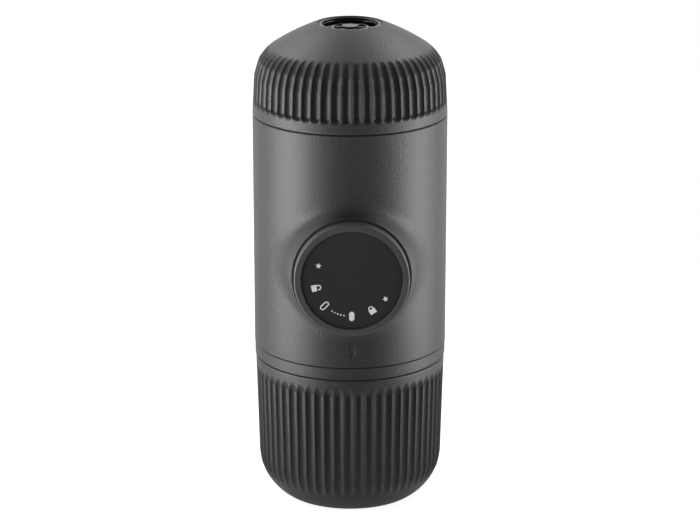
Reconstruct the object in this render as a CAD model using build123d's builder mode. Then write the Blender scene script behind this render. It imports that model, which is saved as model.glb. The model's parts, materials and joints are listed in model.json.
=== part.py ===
"""Handheld manual espresso maker: ribbed cup, water tank, pump body with a turn-to-unlock
piston knob, filter basket and ribbed outlet head. Millimetres, +Z up, origin at the centre
of the cup's flat foot, knob towards -Y."""

import os
from math import asin, atan2, cos, degrees, pi, radians, sin, sqrt, tan

from build123d import *

os.makedirs("parts", exist_ok=True)

# ------------------------------------------------------------------ driving dimensions
# Outside form, stacked from the foot upwards
cup_height = 47.5
collar_height = 4.0
body_height = 75.5
head_height = 29.0
body_radius = 31.0
knob_axis_height = 31.9  # above the body's lower seam
seam_chamfer = 0.25

# Clearances
running_gap = 0.3  # between curved faces that move past each other
fit_gap = 0.05  # press fits, seals and shafts in their bushes
thread_room = 1.0  # radial room for a thread and its mate

# Ribbed cup
cup_inset = 0.3  # rim of the cup inside the body's outside
cup_taper = 0.8
cup_corner_radius = 17.0
cup_corner_height = 14.5
cup_wall = 2.2
cup_floor = 2.6
cup_mouth_depth = 7.5
foot_rounding = 1.0

# Ribs: scooped grooves with slim ridges left between them
rib_pitch = 3.25  # round the body's radius
groove_radius = 1.3
groove_depth = 0.95
cup_groove_foot = 12.5  # height at which the grooves bend in under the cup
cup_groove_bend = 9.5  # how far down the bent run is cut
cup_groove_tilt = 11.0
cup_groove_top = 6.0  # below the rim, where the grooves begin to run out
cup_groove_runout = 17.5
head_groove_start = 4.4  # above the head's seam, where the grooves reach full depth
head_groove_runout = 40.0
head_groove_bend = 12.3  # above the seam, where the grooves bend over the shoulder
head_groove_crest = 16.9  # above the seam, where they bend again
head_groove_top = 24.0
head_groove_tilt = 13.4
head_groove_crest_tilt = 32.5

# Water tank
collar_inset = 0.1
tank_wall = 1.6
tank_gap = 1.0
tank_spigot = 5.5
cup_o_ring_section = 0.7
gasket_thickness = 2.0

# Main body
shell_wall = 2.0
socket_wall = 1.35
deck_thickness = 3.0
boss_depth = 35.8  # front of the knob boss, from the main axis
boss_rim = 0.6
boss_draft = 10.0
boss_fillet = 2.2
mark_width = 2.2
mark_height = 4.7
mark_depth = 0.5
mark_drop = 7.95  # below the knob

# Piston knob
knob_proud = 4.2  # front of the knob beyond the boss
knob_radius = 17.8
skirt_gap = 2.0  # behind the knob's skirt
knob_wall = 1.6
knob_front = 4.0
knob_edge = 0.5
face_radius = 15.75
face_pocket = 1.3
face_thickness = 0.9
hub_radius = 6.0
hub_length = 5.0
knob_screw_radius = 1.5
knob_screw_length = 9.0
knob_screw_head = 1.3
knob_screw_head_radius = 3.0

# Lock sleeve
sleeve_seat = 12.0  # front of the pump block, from the main axis
sleeve_flange = 1.5
sleeve_flange_radius = 17.2
sleeve_wall = 1.9
sleeve_clearance = 3.0  # from the sleeve's front to the knob at rest
sleeve_hole_radius = 10.6
spline_count = 3
spline_width = 4.0
spline_height = 0.9
retainer_lip = 1.4
plate_radius = 18.5  # retainer and the block's front flange behind it
plate_side_room = 7.5  # from the shell's bore to the flat sides of the plates
plate_height = 24.0
plate_corner = 3.0
plate_screw_inset = 1.5
plate_screw_z = 8.0

# Return spring
spring_wire = 0.65
spring_radius = 12.2
spring_turns = 5

# Pump
bore_radius = 7.0
barrel_wall = 1.5
port_wall = 1.3  # from the barrel's closed end to the valve bores
stroke = 14.0
rod_radius = 3.0
guide_length = 5.0
guide_flange = 1.2
piston_length = 6.5
piston_end_gap = 0.5
seal_section = 0.8
block_wall = 3.0
block_flange = 4.0
block_disc_room = 5.0  # round the discs
block_disc_thickness = 2.5
post_radius = 2.5
post_spigot_radius = 1.5
post_inset = 3.8
rear_post_angle = 34.5
deck_clearance = 0.4  # below the pump's front flange
group_clearance = 2.1  # above it

# Valve column
column_radius = 7.2
valve_bore_radius = 3.2
port_radius = 1.5
side_port_radius = 1.2
ball_radius = 2.4
ball_lift = 1.0
seat_height = 2.5
valve_wire = 0.25
valve_spring_turns = 4
valve_spring_room = 3.2
cap_height = 3.0

# Intake
tube_radius = 2.5
tube_bore_radius = 1.5
tube_socket = 2.5
strainer_radius = 4.5
strainer_height = 6.0
strainer_wall = 0.8
strainer_clearance = 1.2  # above the tank's floor
strainer_slots = 8

# Air valve in the deck
vent_offset = 3.0  # in front of the main axis
vent_stem_radius = 1.6
vent_disc_radius = 4.5
vent_disc_thickness = 1.0
vent_bulb_radius = 2.3
vent_bulb_height = 1.6
vent_room = 1.7  # around the bulb

# Screws
screw_radius = 1.2
screw_head_radius = 2.1
screw_head_height = 1.6
screw_length = 9.5
group_screw_inset = 3.5
group_screw_angles = (10, 57, 123, 170)
retainer_screw_radius = 0.8
retainer_head_radius = 1.45
retainer_head_height = 1.0

# Brew group
group_floor = 5.0
neck_wall = 4.9
neck_height = 8.0
shower_ledge = 1.3
recess_depth = 1.2
shower_inset = 3.6  # inside the chamber's wall
shower_thickness = 1.0
shower_hole_radius = 0.8
shower_screw_radius = 1.5
shower_screw_head = 3.0
shower_screw_cover = 1.0  # floor left under its hole
shower_boss_radius = 3.5
seal_thickness = 1.5
shower_seal_width = 2.8

# Filter basket
basket_drop = 7.0  # below the top of the neck
basket_flange = 1.5
basket_flange_gap = 0.3
basket_wall = 1.0
basket_rebate = 1.2
basket_lip = 1.0
basket_lip_width = 2.9
screen_thickness = 0.8
screen_hole_radius = 0.7
head_seal_thickness = 2.2
head_seal_inset = 1.0  # from the basket's mouth

# Outlet head
head_taper = 0.55
shoulder_height = 11.9
shoulder_radius = 12.6
shoulder_turn = 54.0
outlet_rim_radius = 10.8
outlet_rim_land = 0.7
head_wall = 3.0
funnel_plug_gap = 0.4
funnel_recess_inset = 1.5
funnel_recess_height = 3.3
funnel_flange_inset = 1.8
funnel_ledge = 1.8
funnel_gap = 0.9  # between its flange and the neck of the brew group
funnel_flange = 2.0
funnel_boss_radius = 6.4
funnel_boss_height = 1.0
outlet_bore_radius = 3.0
collar_wall = 2.4
collar_drop = 9.5

# Nozzle
nozzle_recess = 0.8
nozzle_wall = 1.4
spoke_count = 6
spoke_width = 1.1
spoke_height = 2.4
spoke_depth = 3.4  # top of the spokes below the rim of the head
nozzle_hub_radius = 2.6
nozzle_hub_drop = 1.7  # below the spokes
nozzle_ring_radius = 5.6
nozzle_ring_width = 0.8
key_width = 3.0
key_reach = 0.9
key_height = 1.2
key_angle = -66.0  # from +X, a little to the right of the knob

# Crema valve
poppet_radius = 4.2
poppet_thickness = 1.6
poppet_lift = 1.2
stem_radius = 1.1
stem_gap = 0.1
stem_length = 9.3
crema_wire = 0.3
crema_turns = 5

# ------------------------------------------------------------------ places worked out
collar_bottom_z = cup_height
body_bottom_z = collar_bottom_z + collar_height
body_top_z = body_bottom_z + body_height
head_top_z = body_top_z + head_height
knob_axis_z = body_bottom_z + knob_axis_height

rib_count = round(2 * pi * body_radius / rib_pitch)
shell_bore = body_radius - shell_wall
insert_radius = shell_bore - fit_gap
tank_neck_radius = insert_radius - socket_wall - thread_room
deck_top_z = knob_axis_z - plate_radius - deck_clearance
deck_bottom_z = deck_top_z - deck_thickness
neck_top_z = deck_bottom_z - gasket_thickness
group_bottom_z = knob_axis_z + plate_radius + group_clearance
chamber_floor_z = group_bottom_z + group_floor
group_neck_radius = insert_radius - socket_wall - running_gap
group_neck_top_z = body_top_z + neck_height
chamber_radius = group_neck_radius - neck_wall
shower_radius = chamber_radius - shower_inset
recess_radius = shower_radius - shower_ledge
column_offset = recess_radius - port_radius  # behind the main axis
barrel_end = column_offset - valve_bore_radius - port_wall  # closed end, behind the main axis
block_disc_radius = shell_bore - block_disc_room
disc_top_z = group_bottom_z - block_disc_thickness
piston_back = piston_end_gap - barrel_end
piston_front = piston_back + piston_length
barrel_front = piston_front + stroke + piston_end_gap + guide_length

flange_back = sleeve_seat - block_flange
base_plate_top_z = deck_top_z + block_disc_thickness
post_circle = block_disc_radius - post_inset
front_post_y = post_radius + fit_gap - flange_back
rear_post_y = post_circle * sin(radians(rear_post_angle))
post_spots = [
    (side * sqrt(post_circle**2 - post_y**2), post_y)
    for post_y in (front_post_y, rear_post_y)
    for side in (-1, 1)
]
group_screw_circle = block_disc_radius - group_screw_inset
group_screw_spots = [
    (group_screw_circle * cos(radians(angle)), group_screw_circle * sin(radians(angle)))
    for angle in group_screw_angles
]
plate_width = 2 * (shell_bore - plate_side_room)
plate_screw_x = plate_width / 2 - plate_screw_inset
plate_screw_spots = [
    (side * plate_screw_x, level * plate_screw_z)
    for side in (-1, 1)
    for level in (-1, 1)
]

knob_plane = Plane(origin=(0, 0, knob_axis_z), x_dir=(1, 0, 0), z_dir=(0, -1, 0))
knob_section = Plane(origin=(0, 0, knob_axis_z), x_dir=(1, 0, 0), z_dir=(0, 0, -1))
knob_axis = Axis((0, 0, knob_axis_z), (0, -1, 0))


def groove_run(start, end, before, tilt, after):
    """One straight length of a groove's cutter, mitred at the tilts of the lengths it meets."""
    along = Vector(-sin(tilt), 0, cos(tilt))
    outward = Vector(cos(tilt), 0, sin(tilt))
    reach = groove_radius * 2
    mitres = [(before + tilt) / 2, (tilt + after) / 2]
    with BuildPart() as run:
        with BuildSketch(Plane(origin=start + outward * groove_radius - along * reach, z_dir=along)):
            Circle(groove_radius)
        extrude(amount=(end - start).length + reach * 2)
        for point, mitre, keep in ((start, mitres[0], Keep.TOP), (end, mitres[1], Keep.BOTTOM)):
            split(bisect_by=Plane(origin=point, z_dir=(-sin(mitre), 0, cos(mitre))), keep=keep)
    return run.part


def scooped_groove(*floor_line):
    """Round-bottomed cutter in the XZ plane, from the foot up, deepest along the given line."""
    points = [Vector(radius, 0, height) for radius, height in floor_line]
    tilts = [atan2(a.X - b.X, b.Z - a.Z) for a, b in zip(points, points[1:])]
    tilts = [tilts[0]] + tilts + [tilts[-1]]
    with BuildPart() as cutter:
        for start, end, before, tilt, after in zip(points, points[1:], tilts, tilts[1:], tilts[2:]):
            add(groove_run(start, end, before, tilt, after))
    return cutter.part


def o_ring(section_plane, axis, radius, places, section):
    """Sealing rings of one size about an axis, at the given places along it."""
    with BuildPart() as rings:
        with BuildSketch(section_plane):
            with Locations(*[(radius, place) for place in places]):
                RegularPolygon(section, 8)
        revolve(axis=axis)
    return rings.part


def coil_spring(start, direction, length, radius, wire, turns):
    """Open coil of fine wire between two faces, its first face at the start point."""
    with BuildPart() as coil:
        with BuildLine() as path:
            Helix(
                pitch=(length - 2 * wire) / turns,
                height=length - 2 * wire,
                radius=radius,
                center=Vector(*start) + Vector(*direction) * wire,
                direction=direction,
            )
        with BuildSketch(Plane(origin=path.line @ 0, z_dir=path.line % 0)):
            RegularPolygon(wire, 6)
        sweep(path=path.line, is_frenet=True)
    return coil.part


# ------------------------------------------------------------------ cup
cup_rim_radius = body_radius - cup_inset
cup_side_radius = cup_rim_radius - cup_taper
cup_corner_centre = (cup_side_radius - cup_corner_radius, cup_corner_height)
cup_mouth_radius = cup_rim_radius - cup_wall
cup_inner_radius = cup_corner_radius - cup_wall
cup_slope = cup_taper / (cup_height - cup_corner_height)
cup_groove_radius = cup_side_radius - groove_depth
cup_groove_top_z = cup_height - cup_groove_top
cup_groove_top_radius = cup_groove_radius + cup_slope * (cup_groove_top_z - cup_corner_height)
cup_groove = scooped_groove(
    (
        cup_groove_radius - cup_groove_bend * tan(radians(cup_groove_tilt)),
        cup_groove_foot - cup_groove_bend,
    ),
    (cup_groove_radius, cup_groove_foot),
    (cup_groove_top_radius, cup_groove_top_z),
    (cup_groove_top_radius + cup_groove_top * tan(radians(cup_groove_runout)), cup_height),
)

with BuildPart() as cup:
    with BuildSketch(Plane.XZ):
        with BuildLine():
            foot_turn = degrees(asin(cup_corner_height / cup_corner_radius))
            inner_turn = degrees(asin((cup_corner_height - cup_floor) / cup_inner_radius))
            corner = CenterArc(cup_corner_centre, cup_corner_radius, -foot_turn, foot_turn)
            inner = CenterArc(cup_corner_centre, cup_inner_radius, -inner_turn, inner_turn)
            mouth_z = cup_height - cup_mouth_depth
            Polyline((0, cup_floor), (0, 0), corner @ 0)
            Polyline(
                corner @ 1,
                (cup_rim_radius, cup_height),
                (cup_mouth_radius, cup_height),
                (cup_mouth_radius, mouth_z),
                (cup_mouth_radius - running_gap, mouth_z),
                inner @ 1,
            )
            Line(inner @ 0, (0, cup_floor))
        make_face()
    revolve(axis=Axis.Z)
    circles = cup.edges().filter_by(GeomType.CIRCLE)
    fillet(circles.filter_by_position(Axis.Z, 0, 0), foot_rounding)
    rims = cup.edges().filter_by(GeomType.CIRCLE).filter_by_position(Axis.Z, cup_height, cup_height)
    chamfer(rims, seam_chamfer)
    with PolarLocations(0, rib_count):
        add(cup_groove, mode=Mode.SUBTRACT)
cup.part.label = "cup"
export_step(cup.part, "parts/cup.step")


# ------------------------------------------------------------------ water tank
collar_radius = body_radius - collar_inset
tank_radius = cup_inner_radius - tank_gap
tank_side_radius = cup_corner_centre[0] + tank_radius
tank_inner_radius = tank_radius - tank_wall
tank_floor_z = cup_floor + tank_gap + tank_wall
tank_bore = tank_side_radius - tank_wall
spigot_radius = cup_mouth_radius - running_gap
spigot_bottom_z = collar_bottom_z - tank_spigot
cup_o_ring_radius = cup_mouth_radius - fit_gap - cup_o_ring_section
cup_o_ring_z = collar_bottom_z - tank_spigot / 2
groove_bottom_radius = cup_o_ring_radius - cup_o_ring_section - fit_gap
groove_half_height = cup_o_ring_section + fit_gap

with BuildPart() as water_tank:
    with BuildSketch(Plane.XZ):
        with BuildLine():
            outer_turn = degrees(asin((cup_corner_height - tank_floor_z + tank_wall) / tank_radius))
            inner_turn = degrees(asin((cup_corner_height - tank_floor_z) / tank_inner_radius))
            outer = CenterArc(cup_corner_centre, tank_radius, -outer_turn, outer_turn)
            inner = CenterArc(cup_corner_centre, tank_inner_radius, -inner_turn, inner_turn)
            Polyline((0, tank_floor_z), (0, tank_floor_z - tank_wall), outer @ 0)
            Polyline(
                outer @ 1,
                (tank_side_radius, spigot_bottom_z),
                (spigot_radius, spigot_bottom_z),
                (spigot_radius, cup_o_ring_z - groove_half_height),
                (groove_bottom_radius, cup_o_ring_z - groove_half_height),
                (groove_bottom_radius, cup_o_ring_z + groove_half_height),
                (spigot_radius, cup_o_ring_z + groove_half_height),
                (spigot_radius, collar_bottom_z),
                (collar_radius, collar_bottom_z),
                (collar_radius, body_bottom_z),
                (tank_neck_radius, body_bottom_z),
                (tank_neck_radius, neck_top_z),
                (tank_bore, neck_top_z),
                inner @ 1,
            )
            Line(inner @ 0, (0, tank_floor_z))
        make_face()
    revolve(axis=Axis.Z)
    seams = water_tank.edges().filter_by(GeomType.CIRCLE).group_by(SortBy.RADIUS)[-1]
    chamfer(seams, seam_chamfer)
water_tank.part.label = "water_tank"
export_step(water_tank.part, "parts/water_tank.step")

cup_o_ring = o_ring(Plane.XZ, Axis.Z, cup_o_ring_radius, [cup_o_ring_z], cup_o_ring_section)
cup_o_ring.label = "cup_o_ring"
export_step(cup_o_ring, "parts/cup_o_ring.step")

with BuildPart() as tank_gasket:
    with BuildSketch(Plane.XY.offset(neck_top_z)):
        Circle(tank_neck_radius)
        Circle(tank_bore, mode=Mode.SUBTRACT)
    extrude(amount=gasket_thickness)
tank_gasket.part.label = "tank_gasket"
export_step(tank_gasket.part, "parts/tank_gasket.step")


# ------------------------------------------------------------------ body shell with its knob boss
boss_bore = knob_radius + running_gap
boss_length = boss_depth - sleeve_seat

with BuildPart() as body_shell:
    with BuildSketch(Plane.XY.offset(body_bottom_z)):
        Circle(body_radius)
    extrude(amount=body_height)
    with BuildSketch(knob_plane.offset(sleeve_seat)):
        Circle(boss_bore + boss_rim + boss_length * tan(radians(boss_draft)))
    extrude(amount=boss_length, taper=boss_draft)
    plain = (GeomType.CIRCLE, GeomType.LINE)
    junction = body_shell.edges().filter_by(lambda edge: edge.geom_type not in plain)
    fillet(junction, boss_fillet)
    rims = body_shell.edges().filter_by(GeomType.CIRCLE)
    chamfer(rims.filter_by_position(Axis.Z, body_bottom_z, body_bottom_z), seam_chamfer)
    chamfer(rims.filter_by_position(Axis.Z, body_top_z, body_top_z), seam_chamfer)
    with BuildSketch(Plane.XY.offset(body_bottom_z)):
        Circle(shell_bore)
    extrude(amount=body_height, mode=Mode.SUBTRACT)
    with BuildSketch(knob_plane):
        Circle(boss_bore)
    extrude(amount=boss_depth, mode=Mode.SUBTRACT)
    mark_plane = Plane.XZ.offset(body_radius - mark_depth)
    with BuildSketch(mark_plane):
        with Locations((0, knob_axis_z - knob_radius - mark_drop)):
            SlotOverall(mark_height, mark_width, rotation=90)
    extrude(amount=mark_depth * 2, mode=Mode.SUBTRACT)
body_shell.part.label = "body_shell"
export_step(body_shell.part, "parts/body_shell.step")


# ------------------------------------------------------------------ tank socket and deck
socket_bore = insert_radius - socket_wall
tube_hole = tube_radius + fit_gap
vent_hole = vent_stem_radius + fit_gap

with BuildPart() as tank_socket:
    with BuildSketch(Plane.XZ):
        with BuildLine():
            Polyline(
                (0, deck_bottom_z),
                (socket_bore, deck_bottom_z),
                (socket_bore, body_bottom_z + seam_chamfer * 2),
                (insert_radius, body_bottom_z + seam_chamfer * 2),
                (insert_radius, deck_top_z),
                (0, deck_top_z),
                close=True,
            )
        make_face()
    revolve(axis=Axis.Z)
    with Locations((0, column_offset, deck_top_z)):
        Hole(tube_hole)
    with Locations((0, -vent_offset, deck_top_z)):
        Hole(vent_hole)
    with BuildSketch(Plane.XY.offset(deck_bottom_z)):
        with Locations(*post_spots):
            Circle(screw_radius + fit_gap)
    extrude(amount=deck_thickness, mode=Mode.SUBTRACT)
tank_socket.part.label = "tank_socket"
export_step(tank_socket.part, "parts/tank_socket.step")

with BuildPart() as deck_screws:
    with BuildSketch(Plane.XY.offset(deck_bottom_z - screw_head_height)):
        with Locations(*post_spots):
            Circle(screw_head_radius)
    extrude(amount=screw_head_height)
    with BuildSketch(Plane.XY.offset(deck_bottom_z)):
        with Locations(*post_spots):
            Circle(screw_radius)
    extrude(amount=screw_length)
deck_screws.part.label = "deck_screws"
export_step(deck_screws.part, "parts/deck_screws.step")

with BuildPart() as air_valve:
    with BuildSketch(Plane(origin=(0, -vent_offset, 0), x_dir=(1, 0, 0), z_dir=(0, -1, 0))):
        with BuildLine():
            Polyline(
                (0, deck_bottom_z - vent_disc_thickness),
                (vent_disc_radius, deck_bottom_z - vent_disc_thickness / 2),
                (vent_disc_radius, deck_bottom_z),
                (vent_stem_radius, deck_bottom_z),
                (vent_stem_radius, deck_top_z),
                (vent_bulb_radius, deck_top_z),
                (vent_stem_radius, deck_top_z + vent_bulb_height),
                (0, deck_top_z + vent_bulb_height),
                close=True,
            )
        make_face()
    revolve(axis=Axis((0, -vent_offset, 0), (0, 0, 1)))
air_valve.part.label = "air_valve"
export_step(air_valve.part, "parts/air_valve.step")


# ------------------------------------------------------------------ pump block
barrel_radius = bore_radius + barrel_wall
housing_radius = barrel_radius + block_wall
inlet_seat_top_z = deck_top_z + tube_socket + seat_height
ball_rise = sqrt(ball_radius**2 - port_radius**2) + fit_gap
inlet_shoulder_z = inlet_seat_top_z + ball_rise + ball_radius + ball_lift + valve_spring_room
outlet_seat_z = knob_axis_z + tube_socket * 2

with BuildPart() as pump_block:
    # level housing of the barrel, with its front flange
    with BuildSketch(knob_plane.offset(-barrel_end - block_wall)):
        Circle(housing_radius)
    extrude(amount=barrel_end + block_wall + flange_back)
    with BuildSketch(knob_plane.offset(flange_back)):
        Circle(plate_radius)
        RectangleRounded(plate_width, plate_height, plate_corner)
    extrude(amount=block_flange)
    # valve column between the deck and the brew group
    with BuildSketch(Plane.XY.offset(deck_top_z)):
        with Locations((0, column_offset)):
            Circle(column_radius)
    extrude(amount=group_bottom_z - deck_top_z)
    # seat of the barrel and the port behind it
    with BuildSketch(knob_plane.offset(-barrel_end)):
        Circle(barrel_radius + fit_gap)
    extrude(amount=barrel_end + sleeve_seat, mode=Mode.SUBTRACT)
    with BuildSketch(knob_plane.offset(-column_offset)):
        Circle(side_port_radius)
    extrude(amount=column_offset - barrel_end, mode=Mode.SUBTRACT)
    # bores of the two valves, joined by a narrow one
    for bore, bottom_z, top_z in (
        (valve_bore_radius, deck_top_z, inlet_shoulder_z),
        (port_radius, inlet_shoulder_z, outlet_seat_z),
        (valve_bore_radius, outlet_seat_z, group_bottom_z),
    ):
        with BuildSketch(Plane.XY.offset(bottom_z)):
            with Locations((0, column_offset)):
                Circle(bore)
        extrude(amount=top_z - bottom_z, mode=Mode.SUBTRACT)
    with BuildSketch(knob_plane.offset(flange_back)):
        with Locations(*plate_screw_spots):
            Circle(retainer_screw_radius + fit_gap)
    extrude(amount=block_flange, mode=Mode.SUBTRACT)
pump_block.part.label = "pump_block"
export_step(pump_block.part, "parts/pump_block.step")

with BuildSketch() as plate_outline:
    Circle(block_disc_radius)
    with Locations((0, -flange_back)):
        Rectangle(
            block_disc_radius * 2,
            block_disc_radius,
            align=(Align.CENTER, Align.MAX),
            mode=Mode.SUBTRACT,
        )
    with Locations((0, column_offset)):
        Circle(column_radius + fit_gap, mode=Mode.SUBTRACT)

with BuildPart() as base_plate:
    with BuildSketch(Plane.XY.offset(deck_top_z)):
        add(plate_outline.sketch)
        with Locations((0, -vent_offset)):
            Circle(vent_bulb_radius + vent_room, mode=Mode.SUBTRACT)
        with Locations(*post_spots):
            Circle(screw_radius + fit_gap, mode=Mode.SUBTRACT)
    extrude(amount=block_disc_thickness)
base_plate.part.label = "base_plate"
export_step(base_plate.part, "parts/base_plate.step")

with BuildPart() as top_plate:
    with BuildSketch(Plane.XY.offset(disc_top_z)):
        add(plate_outline.sketch)
        with Locations(*post_spots):
            Circle(post_spigot_radius + fit_gap, mode=Mode.SUBTRACT)
        with Locations(*group_screw_spots):
            Circle(screw_radius + fit_gap, mode=Mode.SUBTRACT)
    extrude(amount=block_disc_thickness)
top_plate.part.label = "top_plate"
export_step(top_plate.part, "parts/top_plate.step")

with BuildPart() as frame_posts:
    with BuildSketch(Plane.XY.offset(base_plate_top_z)):
        with Locations(*post_spots):
            Circle(post_radius)
    extrude(amount=disc_top_z - base_plate_top_z)
    with BuildSketch(Plane.XY.offset(disc_top_z)):
        with Locations(*post_spots):
            Circle(post_spigot_radius)
    extrude(amount=block_disc_thickness)
    with BuildSketch(Plane.XY.offset(deck_bottom_z)):
        with Locations(*post_spots):
            Circle(screw_radius + fit_gap)
    extrude(amount=screw_length + running_gap, mode=Mode.SUBTRACT)
frame_posts.part.label = "frame_posts"
export_step(frame_posts.part, "parts/frame_posts.step")

with BuildPart() as pump_barrel:
    with BuildSketch(knob_plane.offset(-barrel_end)):
        Circle(barrel_radius)
        Circle(bore_radius, mode=Mode.SUBTRACT)
    extrude(amount=barrel_end + barrel_front)
pump_barrel.part.label = "pump_barrel"
export_step(pump_barrel.part, "parts/pump_barrel.step")

with BuildPart() as rod_guide:
    with BuildSketch(knob_section):
        with BuildLine():
            Polyline(
                (rod_radius + fit_gap * 2, barrel_front - guide_length),
                (bore_radius - fit_gap, barrel_front - guide_length),
                (bore_radius - fit_gap, barrel_front),
                (barrel_radius, barrel_front),
                (barrel_radius, barrel_front + guide_flange),
                (rod_radius + fit_gap * 2, barrel_front + guide_flange),
                close=True,
            )
        make_face()
    revolve(axis=knob_axis)
rod_guide.part.label = "rod_guide"
export_step(rod_guide.part, "parts/rod_guide.step")


# ------------------------------------------------------------------ lock sleeve and its retainer
skirt_bore = knob_radius - knob_wall
sleeve_radius = skirt_bore - running_gap
sleeve_bore = sleeve_radius - sleeve_wall
knob_depth = boss_depth + knob_proud
knob_back = knob_depth - knob_front
sleeve_front = knob_back - sleeve_clearance
flange_front = sleeve_seat + sleeve_flange
retainer_bore = sleeve_flange_radius + fit_gap * 2
lip_back = flange_front + fit_gap * 2
retainer_front = lip_back + retainer_lip
skirt_back = retainer_front + skirt_gap
spline_start = retainer_front + retainer_head_height

with BuildPart() as lock_sleeve:
    with BuildSketch(knob_section):
        with BuildLine():
            Polyline(
                (sleeve_hole_radius, sleeve_seat),
                (sleeve_flange_radius, sleeve_seat),
                (sleeve_flange_radius, flange_front),
                (sleeve_radius, flange_front),
                (sleeve_radius, sleeve_front),
                (sleeve_bore, sleeve_front),
                (sleeve_bore, flange_front),
                (sleeve_hole_radius, flange_front),
                close=True,
            )
        make_face()
    revolve(axis=knob_axis)
    with BuildSketch(knob_plane.offset(spline_start)):
        with PolarLocations(sleeve_radius, spline_count, start_angle=90):
            Rectangle(spline_height * 2, spline_width)
    extrude(amount=sleeve_front - spline_start)
lock_sleeve.part.label = "lock_sleeve"
export_step(lock_sleeve.part, "parts/lock_sleeve.step")

with BuildPart() as sleeve_retainer:
    with BuildSketch(knob_plane.offset(sleeve_seat)):
        Circle(plate_radius)
        RectangleRounded(plate_width, plate_height, plate_corner)
        Circle(retainer_bore, mode=Mode.SUBTRACT)
        with Locations(*plate_screw_spots):
            Circle(retainer_screw_radius + fit_gap, mode=Mode.SUBTRACT)
    extrude(amount=retainer_front - sleeve_seat)
    with BuildSketch(knob_plane.offset(lip_back)):
        Circle(retainer_bore + fit_gap)
        Circle(sleeve_radius + running_gap, mode=Mode.SUBTRACT)
    extrude(amount=retainer_lip)
sleeve_retainer.part.label = "sleeve_retainer"
export_step(sleeve_retainer.part, "parts/sleeve_retainer.step")

with BuildPart() as retainer_screws:
    with BuildSketch(knob_plane.offset(flange_back)):
        with Locations(*plate_screw_spots):
            Circle(retainer_screw_radius)
    extrude(amount=retainer_front - flange_back)
    with BuildSketch(knob_plane.offset(retainer_front)):
        with Locations(*plate_screw_spots):
            Circle(retainer_head_radius)
    extrude(amount=retainer_head_height)
retainer_screws.part.label = "retainer_screws"
export_step(retainer_screws.part, "parts/retainer_screws.step")

return_spring = coil_spring(
    start=(0, -flange_front, knob_axis_z),
    direction=(0, -1, 0),
    length=knob_back - flange_front,
    radius=spring_radius,
    wire=spring_wire,
    turns=spring_turns,
)
return_spring.label = "return_spring"
export_step(return_spring, "parts/return_spring.step")


# ------------------------------------------------------------------ piston knob, rod and seals
pocket_depth = knob_depth - face_pocket
piston_radius = bore_radius - running_gap
seal_radius = bore_radius - fit_gap - seal_section
seal_groove_radius = seal_radius - seal_section - fit_gap
seal_half_height = seal_section + fit_gap
seal_places = [piston_back + piston_length * share for share in (0.28, 0.72)]
screw_pocket = pocket_depth - knob_screw_head

with BuildPart() as piston_knob:
    with BuildSketch(knob_section):
        with BuildLine():
            Polyline(
                (skirt_bore, skirt_back),
                (knob_radius, skirt_back),
                (knob_radius, knob_depth),
                (face_radius + fit_gap * 2, knob_depth),
                (face_radius + fit_gap * 2, pocket_depth),
                (0, pocket_depth),
                (0, knob_back),
                (rod_radius + fit_gap, knob_back),
                (rod_radius + fit_gap, knob_back - hub_length),
                (hub_radius, knob_back - hub_length),
                (hub_radius, knob_back),
                (skirt_bore, knob_back),
                close=True,
            )
        make_face()
    revolve(axis=knob_axis)
    front_edges = piston_knob.edges().filter_by(GeomType.CIRCLE).group_by(Axis.Y)[0]
    fillet(front_edges.sort_by(SortBy.RADIUS)[-1], knob_edge)
    with BuildSketch(knob_plane.offset(skirt_back)):
        with PolarLocations(sleeve_radius, spline_count, start_angle=90):
            Rectangle((spline_height + running_gap) * 2, spline_width + running_gap * 2)
    extrude(amount=knob_back - skirt_back, mode=Mode.SUBTRACT)
    with BuildSketch(knob_plane.offset(screw_pocket)):
        Circle(knob_screw_head_radius + running_gap)
    extrude(amount=knob_screw_head, mode=Mode.SUBTRACT)
    with BuildSketch(knob_plane.offset(knob_back)):
        Circle(knob_screw_radius + fit_gap)
    extrude(amount=screw_pocket - knob_back, mode=Mode.SUBTRACT)
piston_knob.part.label = "piston_knob"
export_step(piston_knob.part, "parts/piston_knob.step")

with BuildPart() as face_plate:
    with BuildSketch(knob_plane.offset(pocket_depth)):
        Circle(face_radius)
    extrude(amount=face_thickness)
face_plate.part.label = "face_plate"
export_step(face_plate.part, "parts/face_plate.step")

with BuildPart() as knob_screw:
    with BuildSketch(knob_plane.offset(screw_pocket)):
        Circle(knob_screw_head_radius)
    extrude(amount=knob_screw_head - fit_gap)
    with BuildSketch(knob_plane.offset(screw_pocket)):
        Circle(knob_screw_radius)
    extrude(amount=-knob_screw_length)
knob_screw.part.label = "knob_screw"
export_step(knob_screw.part, "parts/knob_screw.step")

with BuildPart() as piston_rod:
    with BuildSketch(knob_section):
        with BuildLine():
            corners = [(knob_screw_radius + fit_gap, knob_back), (rod_radius, knob_back)]
            corners += [(rod_radius, piston_front), (piston_radius, piston_front)]
            for place in reversed(seal_places):
                corners += [
                    (piston_radius, place + seal_half_height),
                    (seal_groove_radius, place + seal_half_height),
                    (seal_groove_radius, place - seal_half_height),
                    (piston_radius, place - seal_half_height),
                ]
            corners += [(piston_radius, piston_back), (0, piston_back)]
            corners += [(0, screw_pocket - knob_screw_length - running_gap)]
            corners += [(knob_screw_radius + fit_gap, screw_pocket - knob_screw_length - running_gap)]
            Polyline(*corners, close=True)
        make_face()
    revolve(axis=knob_axis)
piston_rod.part.label = "piston_rod"
export_step(piston_rod.part, "parts/piston_rod.step")

piston_seals = o_ring(knob_section, knob_axis, seal_radius, seal_places, seal_section)
piston_seals.label = "piston_seals"
export_step(piston_seals, "parts/piston_seals.step")


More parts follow.
